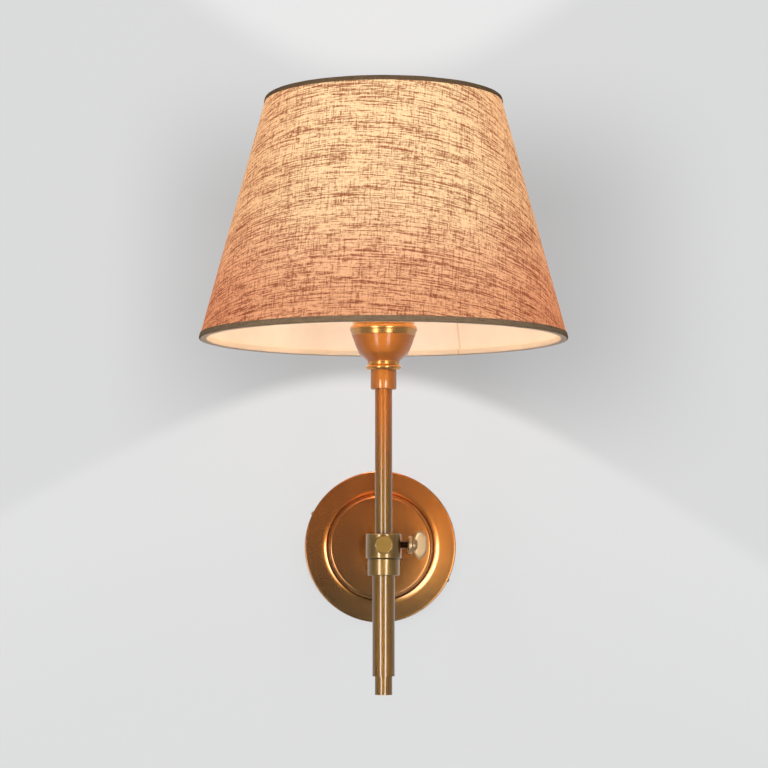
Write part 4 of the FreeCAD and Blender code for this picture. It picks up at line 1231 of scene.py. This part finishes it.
def flat_cut(inward):
    """Width, length and area of the cloth's flat cut: a ring sector."""
    outer = SHADE_BOTTOM_RADIUS - inward
    inner = SHADE_TOP_RADIUS - inward
    slant = math.hypot(outer - inner, SHADE_TOP - SHADE_BOTTOM)
    far = outer * slant / (outer - inner)
    near = far - slant
    sector = (2 * math.pi * outer + setting("shade").lap) / far
    width = 2 * far * math.sin(sector / 2)
    length = far - near * math.cos(sector / 2)
    return (width, length), (far * far - near * near) * sector / 2


def soft_point(turn, radius, height):
    """A point of folded tape, which stands a little out of true."""
    ease = noise.noise(circle_point(turn, 9, height * 40)) * 0.12 * MM
    return circle_point(turn, radius + ease, height + ease * 0.6)


def tape(name, node, edge_up, width, outside, inside):
    """Tape folded over a shade edge: down the outside, across the edge and up the inside, with soft folds."""
    edge, cloth_edge = (low(node).z, SHADE_BOTTOM) if edge_up > 0 else (high(node).z, SHADE_TOP)
    outer = SHADE_BOTTOM_RADIUS - SHADE_SLOPE * (cloth_edge - SHADE_BOTTOM)
    thick, fold, inner_depth = 0.5 * MM, 4.5 * MM, 1.2 * MM
    inner = outer - fold
    lean = SHADE_SLOPE * edge_up * width
    leg_end = cloth_edge + width * edge_up
    section = rounded([
        (outer - lean, leg_end, 0.1 * MM), (outer - lean + thick, leg_end, 0.25 * MM),
        (outer + thick, edge, 0.9 * MM), (inner - thick, edge, 0.9 * MM),
        (inner - lean - thick, leg_end, 0.25 * MM), (inner - lean, leg_end, 0.1 * MM),
        (inner, cloth_edge, 0.2 * MM), (outer, cloth_edge, 0.2 * MM),
    ], steps=4)
    shape = bmesh.new()
    sides = spin(shape, section, 240, outer, soft_point)
    for here, there, side in zip(section, section[1:] + section[:1], sides):
        turned_in = (here[0] + there[0]) / 2 < outer - inner_depth
        for face in side:
            face.material_index = int(turned_in)
    piece = new_piece(name, shape, outside)
    piece.data.materials.append(inside)
    return piece


class WALL_LIGHT_OT_wire_frame(bpy.types.Operator):
    """Finish the shade's white wire frame and hoop"""

    bl_idname = "wall_light.wire_frame"
    bl_label = "Wire frame"

    def execute(self, context):
        finish_nodes(white_wire(), "fitter_frame", "shade_hoop")
        return {"FINISHED"}


class WALL_LIGHT_OT_shade(bpy.types.Operator):
    """Lap the linen and its lining into cones and fold the tapes over their edges"""

    bl_idname = "wall_light.shade"
    bl_label = "Shade"

    def execute(self, context):
        cloth, card = 0.05 * MM, 1.0 * MM
        cover = stand_for(cloth_cone("linen_cover", 0.0, linen()), "linen", "shade_cover")
        inside = stand_for(cloth_cone("card_lining", card, lining()), "lining", "shade_lining")
        lower = tape("lower_tape", "bottom_trim", 1, 3.4 * MM, trim_tape(), lit_tape())
        upper = tape("upper_tape", "top_trim", -1, 2.8 * MM, trim_tape(), lit_tape())
        stand_for(lower, "trim_tape", "bottom_trim")
        stand_for(upper, "trim_tape", "top_trim")
        flat, area = flat_cut(cloth)
        flat, area = flat_cut(card)
        return {"FINISHED"}


OPERATORS = [
    WALL_LIGHT_OT_stage, WALL_LIGHT_OT_plate, WALL_LIGHT_OT_fixings, WALL_LIGHT_OT_arm, WALL_LIGHT_OT_clamp,
    WALL_LIGHT_OT_stem, WALL_LIGHT_OT_wing_screw, WALL_LIGHT_OT_cup, WALL_LIGHT_OT_lampholder,
    WALL_LIGHT_OT_bulb, WALL_LIGHT_OT_wire_frame, WALL_LIGHT_OT_shade,
]


class WALL_LIGHT_PT_panel(bpy.types.Panel):
    """Settings and steps of the wall light"""

    bl_idname = "WALL_LIGHT_PT_panel"
    bl_label = "Fabric shade wall light"
    bl_space_type = "VIEW_3D"
    bl_region_type = "UI"
    bl_category = "Wall light"

    def draw(self, context):
        for name, group in SETTINGS.items():
            box = self.layout.box()
            box.label(text=group.__doc__)
            for key in group.__annotations__:
                box.prop(getattr(context.scene, name), key)
        for operator in OPERATORS:
            self.layout.operator(operator.bl_idname)


def register():
    for group in SETTINGS.values():
        bpy.utils.register_class(group)
    for name, group in SETTINGS.items():
        setattr(bpy.types.Scene, name, PointerProperty(type=group))
    for item in OPERATORS + [WALL_LIGHT_PT_panel]:
        bpy.utils.register_class(item)


def unregister():
    for item in reversed(OPERATORS + [WALL_LIGHT_PT_panel]):
        bpy.utils.unregister_class(item)
    for name, group in reversed(SETTINGS.items()):
        delattr(bpy.types.Scene, name)
        bpy.utils.unregister_class(group)


def main():
    register()
    for operator in OPERATORS:
        step = operator.bl_idname.split(".")[1]
        getattr(bpy.ops.wall_light, step)()


if __name__ == "__main__":
    main()
